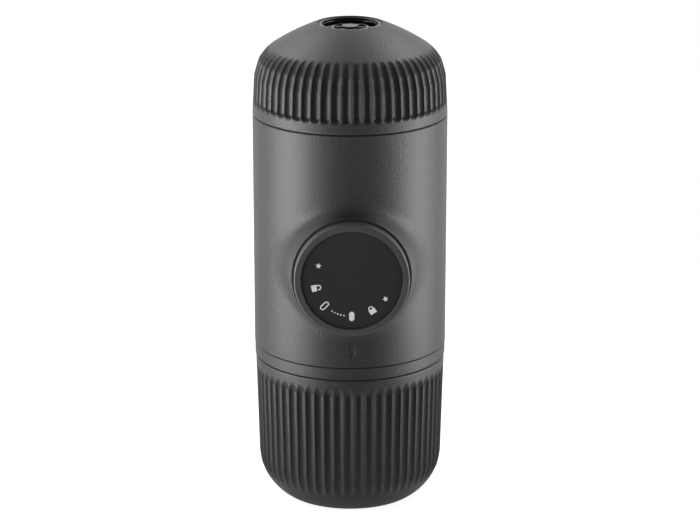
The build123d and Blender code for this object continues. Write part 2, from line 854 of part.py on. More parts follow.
# ------------------------------------------------------------------ valves in the column
outlet_seat_top_z = outlet_seat_z + seat_height
cap_bottom_z = group_bottom_z - cap_height
valve_spring_radius = valve_bore_radius - running_gap * 2 - valve_wire * 2
spring_rest = sqrt(ball_radius**2 - valve_spring_radius**2) + fit_gap

with BuildPart() as inlet_seat:
    with BuildSketch(Plane.XY.offset(deck_top_z)):
        with Locations((0, column_offset)):
            Circle(valve_bore_radius - fit_gap)
            Circle(tube_hole, mode=Mode.SUBTRACT)
    extrude(amount=tube_socket)
    with BuildSketch(Plane.XY.offset(deck_top_z + tube_socket)):
        with Locations((0, column_offset)):
            Circle(valve_bore_radius - fit_gap)
            Circle(port_radius, mode=Mode.SUBTRACT)
    extrude(amount=seat_height)
inlet_seat.part.label = "inlet_seat"
export_step(inlet_seat.part, "parts/inlet_seat.step")

with BuildPart() as outlet_seat:
    with BuildSketch(Plane.XY.offset(outlet_seat_z)):
        with Locations((0, column_offset)):
            Circle(valve_bore_radius - fit_gap)
            Circle(port_radius, mode=Mode.SUBTRACT)
    extrude(amount=seat_height)
outlet_seat.part.label = "outlet_seat"
export_step(outlet_seat.part, "parts/outlet_seat.step")

for name, seat_top_z, spring_end_z in (
    ("inlet", inlet_seat_top_z, inlet_shoulder_z),
    ("outlet", outlet_seat_top_z, cap_bottom_z),
):
    with BuildPart() as ball:
        with Locations((0, column_offset, seat_top_z + ball_rise)):
            Sphere(ball_radius)
    ball.part.label = name + "_ball"
    export_step(ball.part, "parts/" + name + "_ball.step")
    spring_start_z = seat_top_z + ball_rise + spring_rest
    spring = coil_spring(
        start=(0, column_offset, spring_start_z),
        direction=(0, 0, 1),
        length=spring_end_z - spring_start_z,
        radius=valve_spring_radius,
        wire=valve_wire,
        turns=valve_spring_turns,
    )
    spring.label = name + "_spring"
    export_step(spring, "parts/" + name + "_spring.step")

with BuildPart() as valve_cap:
    with BuildSketch(Plane.XY.offset(cap_bottom_z)):
        with Locations((0, column_offset)):
            Circle(valve_bore_radius - fit_gap)
            Circle(port_radius, mode=Mode.SUBTRACT)
    extrude(amount=cap_height)
valve_cap.part.label = "valve_cap"
export_step(valve_cap.part, "parts/valve_cap.step")


# ------------------------------------------------------------------ intake tube and strainer
strainer_bottom_z = tank_floor_z + strainer_clearance
tube_top_z = deck_top_z + tube_socket

with BuildPart() as intake_tube:
    with BuildSketch(Plane.XY.offset(strainer_bottom_z + strainer_height / 2)):
        with Locations((0, column_offset)):
            Circle(tube_radius)
            Circle(tube_bore_radius, mode=Mode.SUBTRACT)
    extrude(amount=tube_top_z - strainer_bottom_z - strainer_height / 2)
intake_tube.part.label = "intake_tube"
export_step(intake_tube.part, "parts/intake_tube.step")

with BuildPart() as intake_strainer:
    with BuildSketch(Plane.XY.offset(strainer_bottom_z)):
        with Locations((0, column_offset)):
            Circle(strainer_radius)
    extrude(amount=strainer_height)
    with BuildSketch(Plane.XY.offset(strainer_bottom_z)):
        with Locations((0, column_offset)):
            Circle(strainer_radius - strainer_wall)
    extrude(amount=strainer_height - strainer_wall, mode=Mode.SUBTRACT)
    with BuildSketch(Plane.XY.offset(strainer_bottom_z)):
        with Locations((0, column_offset)):
            Circle(tube_radius + fit_gap)
    extrude(amount=strainer_height, mode=Mode.SUBTRACT)
    with Locations((0, column_offset, strainer_bottom_z)):
        with PolarLocations(strainer_radius, strainer_slots):
            Box(
                strainer_wall * 4,
                strainer_wall,
                strainer_height / 2,
                align=(Align.CENTER, Align.CENTER, Align.MIN),
                mode=Mode.SUBTRACT,
            )
intake_strainer.part.label = "intake_strainer"
export_step(intake_strainer.part, "parts/intake_strainer.step")


# ------------------------------------------------------------------ brew group
recess_floor_z = chamber_floor_z - shower_thickness - recess_depth
shower_bottom_z = chamber_floor_z - shower_thickness

with BuildPart() as group_housing:
    with BuildSketch(Plane.XZ):
        with BuildLine():
            Polyline(
                (0, group_bottom_z),
                (insert_radius, group_bottom_z),
                (insert_radius, body_top_z),
                (group_neck_radius, body_top_z),
                (group_neck_radius, group_neck_top_z),
                (chamber_radius, group_neck_top_z),
                (chamber_radius, chamber_floor_z),
                (shower_radius + fit_gap, chamber_floor_z),
                (shower_radius + fit_gap, shower_bottom_z),
                (recess_radius, shower_bottom_z),
                (recess_radius, recess_floor_z),
                (shower_boss_radius, recess_floor_z),
                (shower_boss_radius, shower_bottom_z),
                (shower_screw_radius + fit_gap, shower_bottom_z),
                (shower_screw_radius + fit_gap, group_bottom_z + shower_screw_cover),
                (0, group_bottom_z + shower_screw_cover),
                close=True,
            )
        make_face()
    revolve(axis=Axis.Z)
    with BuildSketch(Plane.XY.offset(group_bottom_z)):
        with Locations((0, column_offset)):
            Circle(port_radius - fit_gap)
        with Locations(*group_screw_spots):
            Circle(screw_radius + fit_gap)
    extrude(amount=recess_floor_z - group_bottom_z + recess_depth / 2, mode=Mode.SUBTRACT)
group_housing.part.label = "group_housing"
export_step(group_housing.part, "parts/group_housing.step")

with BuildPart() as group_screws:
    with BuildSketch(Plane.XY.offset(disc_top_z - screw_head_height)):
        with Locations(*group_screw_spots):
            Circle(screw_head_radius)
    extrude(amount=screw_head_height)
    with BuildSketch(Plane.XY.offset(disc_top_z)):
        with Locations(*group_screw_spots):
            Circle(screw_radius)
    extrude(amount=recess_floor_z - disc_top_z)
group_screws.part.label = "group_screws"
export_step(group_screws.part, "parts/group_screws.step")

with BuildPart() as shower_plate:
    with BuildSketch(Plane.XY.offset(shower_bottom_z)):
        Circle(shower_radius)
        Circle(shower_screw_radius + fit_gap, mode=Mode.SUBTRACT)
        for share, count in ((0.4, 6), (0.75, 12)):
            with PolarLocations(shower_radius * share, count):
                Circle(shower_hole_radius, mode=Mode.SUBTRACT)
    extrude(amount=shower_thickness)
shower_plate.part.label = "shower_plate"
export_step(shower_plate.part, "parts/shower_plate.step")

with BuildPart() as shower_screw:
    with BuildSketch(Plane.XY.offset(chamber_floor_z)):
        Circle(shower_screw_head)
    extrude(amount=shower_thickness)
    with BuildSketch(Plane.XY.offset(chamber_floor_z)):
        Circle(shower_screw_radius)
    extrude(amount=-(group_floor - shower_screw_cover - running_gap))
shower_screw.part.label = "shower_screw"
export_step(shower_screw.part, "parts/shower_screw.step")

with BuildPart() as shower_seal:
    with BuildSketch(Plane.XY.offset(chamber_floor_z)):
        Circle(chamber_radius - fit_gap * 4)
        Circle(chamber_radius - shower_seal_width, mode=Mode.SUBTRACT)
    extrude(amount=seal_thickness)
shower_seal.part.label = "shower_seal"
export_step(shower_seal.part, "parts/shower_seal.step")


# ------------------------------------------------------------------ filter basket
basket_bottom_z = chamber_floor_z + seal_thickness
basket_top_z = group_neck_top_z - basket_drop
basket_flange_radius = chamber_radius - basket_flange_gap
basket_radius = basket_flange_radius - basket_rebate
basket_bore = basket_radius - basket_wall
basket_lip_radius = basket_bore - basket_lip_width
screen_top_z = basket_top_z - basket_lip

with BuildPart() as filter_basket:
    with BuildSketch(Plane.XZ):
        with BuildLine():
            Polyline(
                (basket_bore, basket_bottom_z),
                (basket_flange_radius, basket_bottom_z),
                (basket_flange_radius, basket_bottom_z + basket_flange),
                (basket_radius, basket_bottom_z + basket_flange),
                (basket_radius, basket_top_z),
                (basket_lip_radius, basket_top_z),
                (basket_lip_radius, screen_top_z),
                (basket_bore, screen_top_z),
                close=True,
            )
        make_face()
    revolve(axis=Axis.Z)
filter_basket.part.label = "filter_basket"
export_step(filter_basket.part, "parts/filter_basket.step")

with BuildPart() as basket_screen:
    with BuildSketch(Plane.XY.offset(screen_top_z - screen_thickness)):
        Circle(basket_bore - fit_gap)
        for share, count in ((0.3, 6), (0.6, 12), (0.88, 18)):
            with PolarLocations(basket_lip_radius * share, count):
                Circle(screen_hole_radius, mode=Mode.SUBTRACT)
    extrude(amount=screen_thickness)
basket_screen.part.label = "basket_screen"
export_step(basket_screen.part, "parts/basket_screen.step")

funnel_plug_radius = chamber_radius - funnel_plug_gap

with BuildPart() as head_seal:
    with BuildSketch(Plane.XY.offset(basket_top_z)):
        Circle(funnel_plug_radius)
        Circle(basket_lip_radius + head_seal_inset, mode=Mode.SUBTRACT)
    extrude(amount=head_seal_thickness)
head_seal.part.label = "head_seal"
export_step(head_seal.part, "parts/head_seal.step")


# ------------------------------------------------------------------ outlet head
funnel_bottom_z = basket_top_z + head_seal_thickness
flange_bottom_z = group_neck_top_z + funnel_gap
flange_top_z = flange_bottom_z + funnel_flange
skirt_radius = group_neck_radius + thread_room + running_gap
shoulder_z = body_top_z + shoulder_height
shoulder_side_radius = body_radius - head_taper
draft = atan2(head_taper, shoulder_height)
shoulder_centre = (
    shoulder_side_radius - shoulder_radius * cos(draft),
    shoulder_z - shoulder_radius * sin(draft),
)
funnel_recess_radius = funnel_plug_radius - funnel_recess_inset
funnel_flange_radius = skirt_radius - funnel_flange_inset
ledge_radius = funnel_flange_radius - funnel_ledge
nozzle_bore = outlet_rim_radius - outlet_rim_land
collar_radius_outside = nozzle_bore + collar_wall
collar_foot_z = head_top_z - collar_drop
nozzle_radius = nozzle_bore - fit_gap
nozzle_top_z = head_top_z - nozzle_recess
cavity_top_z = shoulder_centre[1] + (shoulder_radius - head_wall) * sin(draft + radians(shoulder_turn / 2))
head_slope = head_taper / shoulder_height


def head_floor(height):
    """Bottom of the grooves on the drafted side of the head, at a height above its seam."""
    return (body_radius - groove_depth - head_slope * height, body_top_z + height)


def beyond(point, rise, tilt):
    """The point reached from another by rising while leaning in towards the axis."""
    return (point[0] - rise * tan(radians(tilt)), point[1] + rise)


groove_start = head_floor(head_groove_start)
groove_bend = head_floor(head_groove_bend)
groove_crest = beyond(groove_bend, head_groove_crest - head_groove_bend, head_groove_tilt)
head_groove = scooped_groove(
    beyond(groove_start, -head_groove_start * 0.9, head_groove_runout),
    groove_start,
    groove_bend,
    groove_crest,
    beyond(groove_crest, head_groove_top - head_groove_crest, head_groove_crest_tilt),
)

with BuildPart() as outlet_head:
    with BuildSketch(Plane.XZ):
        with BuildLine():
            skirt = Line((body_radius, body_top_z), (shoulder_side_radius, shoulder_z))
            shoulder = JernArc(skirt @ 1, skirt % 1, shoulder_radius, shoulder_turn)
            crown = TangentArc(shoulder @ 1, (outlet_rim_radius, head_top_z), tangent=shoulder % 1)
            Polyline(
                crown @ 1,
                (nozzle_bore, head_top_z),
                (nozzle_bore, collar_foot_z),
                (collar_radius_outside, collar_foot_z),
                (collar_radius_outside, head_top_z - head_wall * 1.3),
                (ledge_radius, cavity_top_z),
                (ledge_radius, flange_top_z),
                (funnel_flange_radius + fit_gap, flange_top_z),
                (funnel_flange_radius + fit_gap, flange_bottom_z),
                (skirt_radius, flange_bottom_z),
                (skirt_radius, body_top_z),
                skirt @ 0,
            )
        make_face()
    revolve(axis=Axis.Z)
    rims = outlet_head.edges().filter_by(GeomType.CIRCLE).filter_by_position(Axis.Z, body_top_z, body_top_z)
    chamfer(rims.sort_by(SortBy.RADIUS)[-1], seam_chamfer)
    with PolarLocations(0, rib_count):
        add(head_groove, mode=Mode.SUBTRACT)
    with Locations((0, 0, nozzle_top_z - key_height)):
        with PolarLocations(0, 1, start_angle=key_angle):
            Box(
                nozzle_radius + key_reach + fit_gap * 2,
                key_width + fit_gap * 4,
                key_height * 3,
                align=(Align.MIN, Align.CENTER, Align.MIN),
                mode=Mode.SUBTRACT,
            )
outlet_head.part.label = "outlet_head"
export_step(outlet_head.part, "parts/outlet_head.step")

with BuildPart() as coffee_funnel:
    with BuildSketch(Plane.XZ):
        with BuildLine():
            Polyline(
                (outlet_bore_radius, funnel_bottom_z + funnel_recess_height),
                (funnel_recess_radius, funnel_bottom_z),
                (funnel_plug_radius, funnel_bottom_z),
                (funnel_plug_radius, flange_bottom_z),
                (funnel_flange_radius, flange_bottom_z),
                (funnel_flange_radius, flange_top_z),
                (funnel_boss_radius, flange_top_z),
                (funnel_boss_radius, flange_top_z + funnel_boss_height),
                (outlet_bore_radius, flange_top_z + funnel_boss_height),
                close=True,
            )
        make_face()
    revolve(axis=Axis.Z)
coffee_funnel.part.label = "coffee_funnel"
export_step(coffee_funnel.part, "parts/coffee_funnel.step")


# ------------------------------------------------------------------ nozzle and crema valve
poppet_z = flange_top_z + funnel_boss_height
stem_top_z = poppet_z + poppet_thickness + stem_length
spoke_top_z = head_top_z - spoke_depth
spoke_bottom_z = spoke_top_z - spoke_height
hub_bottom_z = spoke_bottom_z - nozzle_hub_drop

with BuildPart() as nozzle:
    with BuildSketch(Plane.XY.offset(collar_foot_z)):
        Circle(nozzle_radius)
        Circle(nozzle_radius - nozzle_wall, mode=Mode.SUBTRACT)
    extrude(amount=nozzle_top_z - collar_foot_z)
    with BuildSketch(Plane.XY.offset(spoke_bottom_z)):
        Circle(nozzle_ring_radius + nozzle_ring_width / 2)
        Circle(nozzle_ring_radius - nozzle_ring_width / 2, mode=Mode.SUBTRACT)
    extrude(amount=spoke_height)
    with BuildSketch(Plane.XY.offset(spoke_bottom_z)):
        with PolarLocations(nozzle_radius / 2, spoke_count, start_angle=key_angle):
            Rectangle(nozzle_radius - nozzle_wall, spoke_width)
    extrude(amount=spoke_height)
    with BuildSketch(Plane.XY.offset(hub_bottom_z)):
        Circle(nozzle_hub_radius)
    extrude(amount=spoke_top_z - hub_bottom_z + fit_gap * 8)
    fillet(nozzle.edges().filter_by(GeomType.CIRCLE).sort_by(Axis.Z)[-2:], fit_gap * 8)
    with Locations((0, 0, nozzle_top_z - key_height)):
        with PolarLocations(nozzle_radius + key_reach / 2 - nozzle_wall / 4, 1, start_angle=key_angle):
            Box(
                key_reach + nozzle_wall / 2,
                key_width,
                key_height,
                align=(Align.CENTER, Align.CENTER, Align.MIN),
            )
    with BuildSketch(Plane.XY.offset(hub_bottom_z)):
        Circle(stem_radius + stem_gap)
    extrude(amount=stem_top_z + poppet_lift + fit_gap * 4 - hub_bottom_z, mode=Mode.SUBTRACT)
nozzle.part.label = "nozzle"
export_step(nozzle.part, "parts/nozzle.step")

with BuildPart() as crema_valve:
    with BuildSketch(Plane.XY.offset(poppet_z)):
        Circle(poppet_radius)
    extrude(amount=poppet_thickness)
    with BuildSketch(Plane.XY.offset(poppet_z + poppet_thickness)):
        Circle(stem_radius)
    extrude(amount=stem_length)
crema_valve.part.label = "crema_valve"
export_step(crema_valve.part, "parts/crema_valve.step")

poppet_top_z = poppet_z + poppet_thickness
crema_spring = coil_spring(
    start=(0, 0, poppet_top_z),
    direction=(0, 0, 1),
    length=hub_bottom_z - poppet_top_z,
    radius=stem_radius + crema_wire + running_gap * 2,
    wire=crema_wire,
    turns=crema_turns,
)
crema_spring.label = "crema_spring"
export_step(crema_spring, "parts/crema_spring.step")
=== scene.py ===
"""Looks of a handheld manual espresso maker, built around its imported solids.

Lengths are metres, +Z is up, and the pump knob points towards -Y.
"""

import json
from contextlib import contextmanager
from math import atan2, cos, degrees, hypot, pi, radians, sin, sqrt, tan

import bmesh
import bpy
from bpy.props import FloatProperty, FloatVectorProperty, IntProperty, PointerProperty
from mathutils import Matrix, Vector

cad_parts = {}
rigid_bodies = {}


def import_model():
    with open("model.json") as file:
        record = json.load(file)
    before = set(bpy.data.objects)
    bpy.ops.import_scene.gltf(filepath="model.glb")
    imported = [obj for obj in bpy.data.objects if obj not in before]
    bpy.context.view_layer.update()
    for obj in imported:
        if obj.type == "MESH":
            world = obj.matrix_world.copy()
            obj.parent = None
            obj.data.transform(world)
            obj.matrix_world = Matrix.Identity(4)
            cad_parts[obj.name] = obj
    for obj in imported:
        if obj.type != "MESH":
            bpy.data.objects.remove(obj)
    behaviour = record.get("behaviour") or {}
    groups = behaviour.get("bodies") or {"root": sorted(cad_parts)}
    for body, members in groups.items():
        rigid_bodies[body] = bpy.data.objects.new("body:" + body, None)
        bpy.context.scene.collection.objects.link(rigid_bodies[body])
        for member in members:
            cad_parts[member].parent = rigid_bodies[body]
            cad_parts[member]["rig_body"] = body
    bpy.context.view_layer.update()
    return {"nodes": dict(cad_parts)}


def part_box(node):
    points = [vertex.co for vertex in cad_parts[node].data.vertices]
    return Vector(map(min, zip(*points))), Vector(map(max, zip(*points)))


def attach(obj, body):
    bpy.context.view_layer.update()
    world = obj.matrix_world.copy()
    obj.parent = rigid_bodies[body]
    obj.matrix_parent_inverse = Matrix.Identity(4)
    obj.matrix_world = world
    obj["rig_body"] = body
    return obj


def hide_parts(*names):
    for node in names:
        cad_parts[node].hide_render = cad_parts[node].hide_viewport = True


bl_info = {
    "name": "Handheld Espresso Maker",
    "version": (1, 0, 0),
    "blender": (4, 5, 0),
    "location": "3D View > Sidebar > Espresso Maker",
    "description": "Builds the looks of a handheld manual espresso maker piece by piece",
    "category": "Object",
}

MM = 0.001
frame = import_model()
NODES = frame["nodes"]

# Places that the pieces share, read from the solids
CUP_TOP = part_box("cup")[1].z
BODY_FOOT, BODY_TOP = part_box("body_shell")[0].z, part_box("body_shell")[1].z
BODY_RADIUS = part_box("body_shell")[1].x
HEAD_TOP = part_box("outlet_head")[1].z
KNOB_Z = (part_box("face_plate")[0].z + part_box("face_plate")[1].z) / 2
PLATE_FRONT = -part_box("face_plate")[0].y

HEAD_BORE = 28.6 * MM  # inside the head, where it screws on
NO_GROOVE = -1.0  # depth of a skin point that lies over no groove

# Record slot, material, and the solids that are finished with them
FINISHES = (
    ("shell_plastic", "Moulded Plastic", "cup outlet_head"),
    ("shell_plastic", "Body Plastic", "body_shell"),
    ("tank_plastic", "Body Plastic", "water_tank"),
    ("knob_plastic", "Knob Plastic", "piston_knob"),
    ("plate_plastic", "Front Plate", "face_plate"),
    ("gloss_black", "Polished Black", "nozzle"),
    ("tube", "Milky Tube", "intake_tube"),
    ("steel", "Turned Steel", "pump_barrel piston_rod shower_plate basket_screen"),
    ("steel", "Turned Steel", "deck_screws group_screws retainer_screws shower_screw"),
    ("steel", "Turned Steel", "knob_screw inlet_ball outlet_ball"),
    ("spring_steel", "Spring Steel", "return_spring inlet_spring outlet_spring crema_spring"),
    ("seal", "Silicone", "cup_o_ring tank_gasket piston_seals shower_seal head_seal air_valve"),
)


def finish_of(node):
    """Record slot and material of a solid; the inner mouldings are those not named above."""
    for slot, material, nodes in FINISHES:
        if node in nodes.split():
            return slot, material
    return "inner_plastic", "Inner Plastic"


# ---- settings


def length(name, description, default):
    """A setting in metres."""
    return FloatProperty(name=name, description=description, default=default, unit="LENGTH")


def angle(name, description, default):
    """A setting in degrees, kept in radians."""
    return FloatProperty(
        name=name, description=description, default=radians(default), subtype="ANGLE"
    )


def paint(name, description, *default):
    """A colour setting."""
    return FloatVectorProperty(name=name, description=description, subtype="COLOR", default=default)


class RibSettings(bpy.types.PropertyGroup):
    """Sizes of the scooped ribs on the cup and on the outlet head."""

    count: IntProperty(name="Ribs", description="Grooves round the piece", default=60, min=12)
    radius: length("Groove Radius", "Radius of the scoop", 1.68 * MM)
    depth: length("Groove Depth", "Deepest point under the skin", 1.2 * MM)
    softness: length("Ridge Softness", "Rounding of the ridges", 0.16 * MM)
    columns: IntProperty(name="Columns", description="Mesh columns per groove", default=16, min=8)


class FinishSettings(bpy.types.PropertyGroup):
    """Colours of the finishes."""

    shell: paint("Moulding", "Dark grey moulded plastic", 0.03, 0.03, 0.0305)
    knob: paint("Knob", "Grey rim of the knob", 0.062, 0.062, 0.063)
    plate: paint("Front Plate", "Near-black plate of the knob", 0.021, 0.021, 0.022)
    nozzle: paint("Nozzle", "Polished black plastic", 0.008, 0.008, 0.009)
    inner: paint("Inner Plastic", "Black inner mouldings", 0.022, 0.022, 0.024)
    steel: paint("Steel", "Stainless steel", 0.55, 0.55, 0.56)
    seal: paint("Seals", "Soft silicone", 0.36, 0.09, 0.04)
    tube: paint("Tube", "Milky intake tube", 0.72, 0.72, 0.70)
    print_ink: paint("Print", "White ink of the marks", 0.80, 0.80, 0.79)


class BodySettings(bpy.types.PropertyGroup):
    """Sizes of the boss that carries the knob."""

    boss: length("Boss Radius", "At the front of the boss", 18.7 * MM)
    draft: angle("Boss Draft", "Lean of the boss's side", 10)
    blend: length("Boss Blend", "Reach of the fillet round the boss", 3.4 * MM)
    seam: length("Seam", "Extra gap at the foot of the body", 0.2 * MM)
    index: length("Index Rise", "Of the floor of the index mark", 0.33 * MM)
    step: length("Mesh Step", "Longest mesh edge on the skin", 1.6 * MM)
    knob_rise: length("Knob Rise", "Of the knob's rim beyond the solid's", 0.12 * MM)


class NozzleSettings(bpy.types.PropertyGroup):
    """Sizes of the spokes in the nozzle."""

    raised: length("Spoke Rise", "Of the spokes above the solid's", 2.1 * MM)
    rim_rise: length("Rim Rise", "Of the rim above the solid's", 0.55 * MM)
    softness: length("Spoke Softness", "Rounding of the spokes", 0.4 * MM)


class ThreadSettings(bpy.types.PropertyGroup):
    """Sizes of the screw threads."""

    starts: IntProperty(name="Starts", description="Threads side by side", default=3, min=1)
    lead: length("Lead", "Travel in one turn", 7 * MM)
    bead: length("Bead", "Height of a thread", 0.45 * MM)


class StageSettings(bpy.types.PropertyGroup):
    """Camera and light."""

    distance: length("Camera Distance", "From the middle of the maker", 0.82)
    elevation: angle("Elevation", "Camera above the horizon", 17.19)
    azimuth: angle("Azimuth", "Camera round from the front", -0.8)
    lens: FloatProperty(name="Lens", description="Focal length in millimetres", default=130.3)
    softbox: FloatProperty(name="Softboxes", description="Watts of the left lamp", default=6.0)


# ---- shader groups and materials


# Kinds of node sockets, by the type of their value
SOCKETS = {int: "Int", float: "Float", tuple: "Color", bpy.types.Material: "Material"}
SOCKETS[type(None)] = "Geometry"


class Wire:
    """A node's output that formulas can use; each step of a formula is one Math node."""

    def __init__(self, tree, socket):
        self.tree, self.socket = tree, socket

    def __add__(self, other):
        return calc(self.tree, "ADD", self, other)

    def __sub__(self, other):
        return calc(self.tree, "SUBTRACT", self, other)

    def __rsub__(self, other):
        return calc(self.tree, "SUBTRACT", other, self)

    def __mul__(self, other):
        return calc(self.tree, "MULTIPLY", self, other)

    def __truediv__(self, other):
        return calc(self.tree, "DIVIDE", self, other)

    def __rtruediv__(self, other):
        return calc(self.tree, "DIVIDE", other, self)

    def __pow__(self, other):
        return calc(self.tree, "POWER", self, other)


def new_group(name, inputs, outputs, tree_type="ShaderNodeTree"):
    """An empty node group; returns it, its inputs by name, and its output node."""
    tree = bpy.data.node_groups.new(name, tree_type)
    for label, value in inputs.items():
        kind = "NodeSocket" + SOCKETS[type(value)]
        socket = tree.interface.new_socket(label, in_out="INPUT", socket_type=kind)
        if value is not None:
            socket.default_value = value
    for label, kind in outputs.items():
        tree.interface.new_socket(label, in_out="OUTPUT", socket_type="NodeSocket" + kind)
    given = tree.nodes.new("NodeGroupInput").outputs
    return tree, {key: Wire(tree, given[key]) for key in inputs}, tree.nodes.new("NodeGroupOutput")


def feed(tree, node, values):
    """Links or sets the named or numbered inputs of a node."""
    for key, value in values.items():
        if isinstance(value, Wire):
            value = value.socket
        if isinstance(value, bpy.types.NodeSocket):
            tree.links.new(value, node.inputs[key])
        else:
            node.inputs[key].default_value = value


def place(tree, kind, values=None, **settings):
    """Adds a node, sets its properties, and links or sets its inputs."""
    node = tree.nodes.new(kind)
    for key, value in settings.items():
        setattr(node, key, value)
    feed(tree, node, values or {})
    return node


def put(tree, kind, values=None, **settings):
    """Adds a shader node, such as Math, and returns its first output."""
    return Wire(tree, place(tree, "ShaderNode" + kind, values, **settings).outputs[0])


def geo(tree, kind, values=None, **settings):
    """Adds a Geometry Nodes node and returns its first output."""
    return Wire(tree, place(tree, "GeometryNode" + kind, values, **settings).outputs[0])


def calc(tree, operation, *values):
    """One Math node; returns its output."""
    return put(tree, "Math", dict(enumerate(values)), operation=operation)


def grain_group():
    """Fine spark-eroded grain: speckled colour, uneven roughness and a bumped normal."""
    tree, given, made = new_group(
        "Moulded Grain",
        {
            "Color": (0.04, 0.04, 0.04, 1),
            "Roughness": 0.5,
            "Grain Size": 0.25 * MM,
            "Depth": 0.02 * MM,
            "Speckle": 0.3,
            "Edge Rounding": 0.15 * MM,
        },
        {"Color": "Color", "Roughness": "Float", "Normal": "Vector"},
    )
    cloud_scale, cloud_share, rough_share = 90.0, 0.16, 0.25
    where = place(tree, "ShaderNodeTexCoord").outputs["Object"]
    fine = {"Vector": where, "Scale": 1.0 / given["Grain Size"], "Detail": 2.0, "Roughness": 0.6}
    broad = {"Vector": where, "Scale": cloud_scale, "Detail": 3.0, "Roughness": 0.55}
    grain = put(tree, "TexNoise", fine)
    drift = (put(tree, "TexNoise", broad) - 0.5) * cloud_share
    gain = (grain - 0.5) * given["Speckle"] + drift + 1.0
    tint = put(tree, "VectorMath", {0: given["Color"], "Scale": gain}, operation="SCALE")
    rough = given["Roughness"] + (grain - 0.5 + drift) * rough_share
    rounded = put(tree, "Bevel", {"Radius": given["Edge Rounding"]}, samples=4)
    bump = put(
        tree,
        "Bump",
        {"Height": grain, "Strength": 1.0, "Distance": given["Depth"], "Normal": rounded},
    )
    feed(tree, made, {"Color": tint, "Roughness": rough, "Normal": bump})


def brushed_group():
    """Fine turned lines round an axis on metal: uneven roughness and a bumped normal."""
    tree, given, made = new_group(
        "Turned Lines",
        {"Roughness": 0.3, "Line Scale": 9000.0, "Depth": 0.004 * MM},
        {"Roughness": "Float", "Normal": "Vector"},
    )
    rough_share = 0.3
    where = place(tree, "ShaderNodeTexCoord").outputs["Object"]
    drawn_out = put(tree, "Mapping", {"Vector": where, "Scale": (0.05, 0.05, 1.0)})
    lines = put(
        tree,
        "TexNoise",
        {"Vector": drawn_out, "Scale": given["Line Scale"], "Detail": 2.0},
    )
    rough = given["Roughness"] + (lines - 0.5) * rough_share
    bump = put(tree, "Bump", {"Height": lines, "Strength": 0.6, "Distance": given["Depth"]})
    feed(tree, made, {"Roughness": rough, "Normal": bump})


def shader(name):
    """A new material with its Principled shader; returns both."""
    material = bpy.data.materials.new(name)
    material.use_nodes = True
    return material, material.node_tree.nodes["Principled BSDF"]


def grained(name, color, roughness, grain, depth, speckle, rounding=0.15 * MM, specular=0.5):
    """Moulded plastic or rubber with the shared grain."""
    material, surface = shader(name)
    tree = material.node_tree
    effect = place(
        tree,
        "ShaderNodeGroup",
        {
            "Color": (*color, 1),
            "Roughness": roughness,
            "Grain Size": grain,
            "Depth": depth,
            "Speckle": speckle,
            "Edge Rounding": rounding,
        },
        node_tree=bpy.data.node_groups["Moulded Grain"],
    ).outputs
    look = {"Base Color": effect["Color"], "Specular IOR Level": specular}
    feed(tree, surface, look | {key: effect[key] for key in ("Roughness", "Normal")})


def turned(name, color, roughness, scale):
    """Stainless steel with the shared turned lines."""
    material, surface = shader(name)
    tree = material.node_tree
    effect = place(
        tree,
        "ShaderNodeGroup",
        {"Roughness": roughness, "Line Scale": scale},
        node_tree=bpy.data.node_groups["Turned Lines"],
    ).outputs
    look = {"Base Color": (*color, 1), "Metallic": 1.0}
    feed(tree, surface, look | {key: effect[key] for key in ("Roughness", "Normal")})


class ESPRESSO_OT_finishes(bpy.types.Operator):
    """Make the materials"""

    bl_idname = "espresso.finishes"
    bl_label = "Finishes"

    def execute(self, context):
        colors = context.scene.espresso_finish
        grain_group()
        brushed_group()
        # colour, roughness, grain size, grain depth, speckle, edge rounding, specular level
        grained("Moulded Plastic", colors.shell, 0.45, 0.42 * MM, 0.11 * MM, 0.9, 0.05 * MM)
        grained("Body Plastic", colors.shell, 0.45, 0.42 * MM, 0.11 * MM, 0.9, 0.3 * MM)
        grained("Knob Plastic", colors.knob, 0.42, 0.4 * MM, 0.03 * MM, 0.3, 0.3 * MM)
        grained("Front Plate", colors.plate, 0.5, 0.2 * MM, 0.006 * MM, 0.15, 0.05 * MM, 0.35)
        grained("Polished Black", colors.nozzle, 0.07, 2.5 * MM, 0.004 * MM, 0.1, 0.15 * MM, 0.22)
        grained("Inner Plastic", colors.inner, 0.5, 0.4 * MM, 0.01 * MM, 0.2)
        grained("Silicone", colors.seal, 0.55, 0.5 * MM, 0.008 * MM, 0.12, 0.2 * MM)
        grained("Milky Tube", colors.tube, 0.3, 1.0 * MM, 0.003 * MM, 0.04)
        grained("White Ink", colors.print_ink, 0.55, 0.12 * MM, 0.002 * MM, 0.08, 0.01 * MM)
        turned("Turned Steel", colors.steel, 0.3, 9000.0)
        turned("Spring Steel", [0.8 * c for c in colors.steel], 0.25, 4000.0)
        return {"FINISHED"}


# ---- mesh helpers


@contextmanager
def reshaped(mesh):
    """The mesh as a bmesh, written back at the end."""
    shape = bmesh.new()
    shape.from_mesh(mesh)
    yield shape
    shape.to_mesh(mesh)
    shape.free()


def link(name, mesh, material, body, slot, *nodes):
    """Puts a mesh in the scene: its material, body and the nodes it stands for; slot is not used.
    """
    mesh.name = name
    mesh.materials.clear()
    mesh.materials.append(bpy.data.materials[material])
    piece = bpy.data.objects.new(name, mesh)
    bpy.context.scene.collection.objects.link(piece)
    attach(piece, body)
    if nodes:
        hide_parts(*nodes)
    return piece


def stand_in(node, mesh, name=None):
    """Puts a mesh in the scene in place of its solid, in the solid's own finish."""
    slot, material = finish_of(node)
    return link(name or node + "_finished", mesh, material, NODES[node]["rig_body"], slot, node)


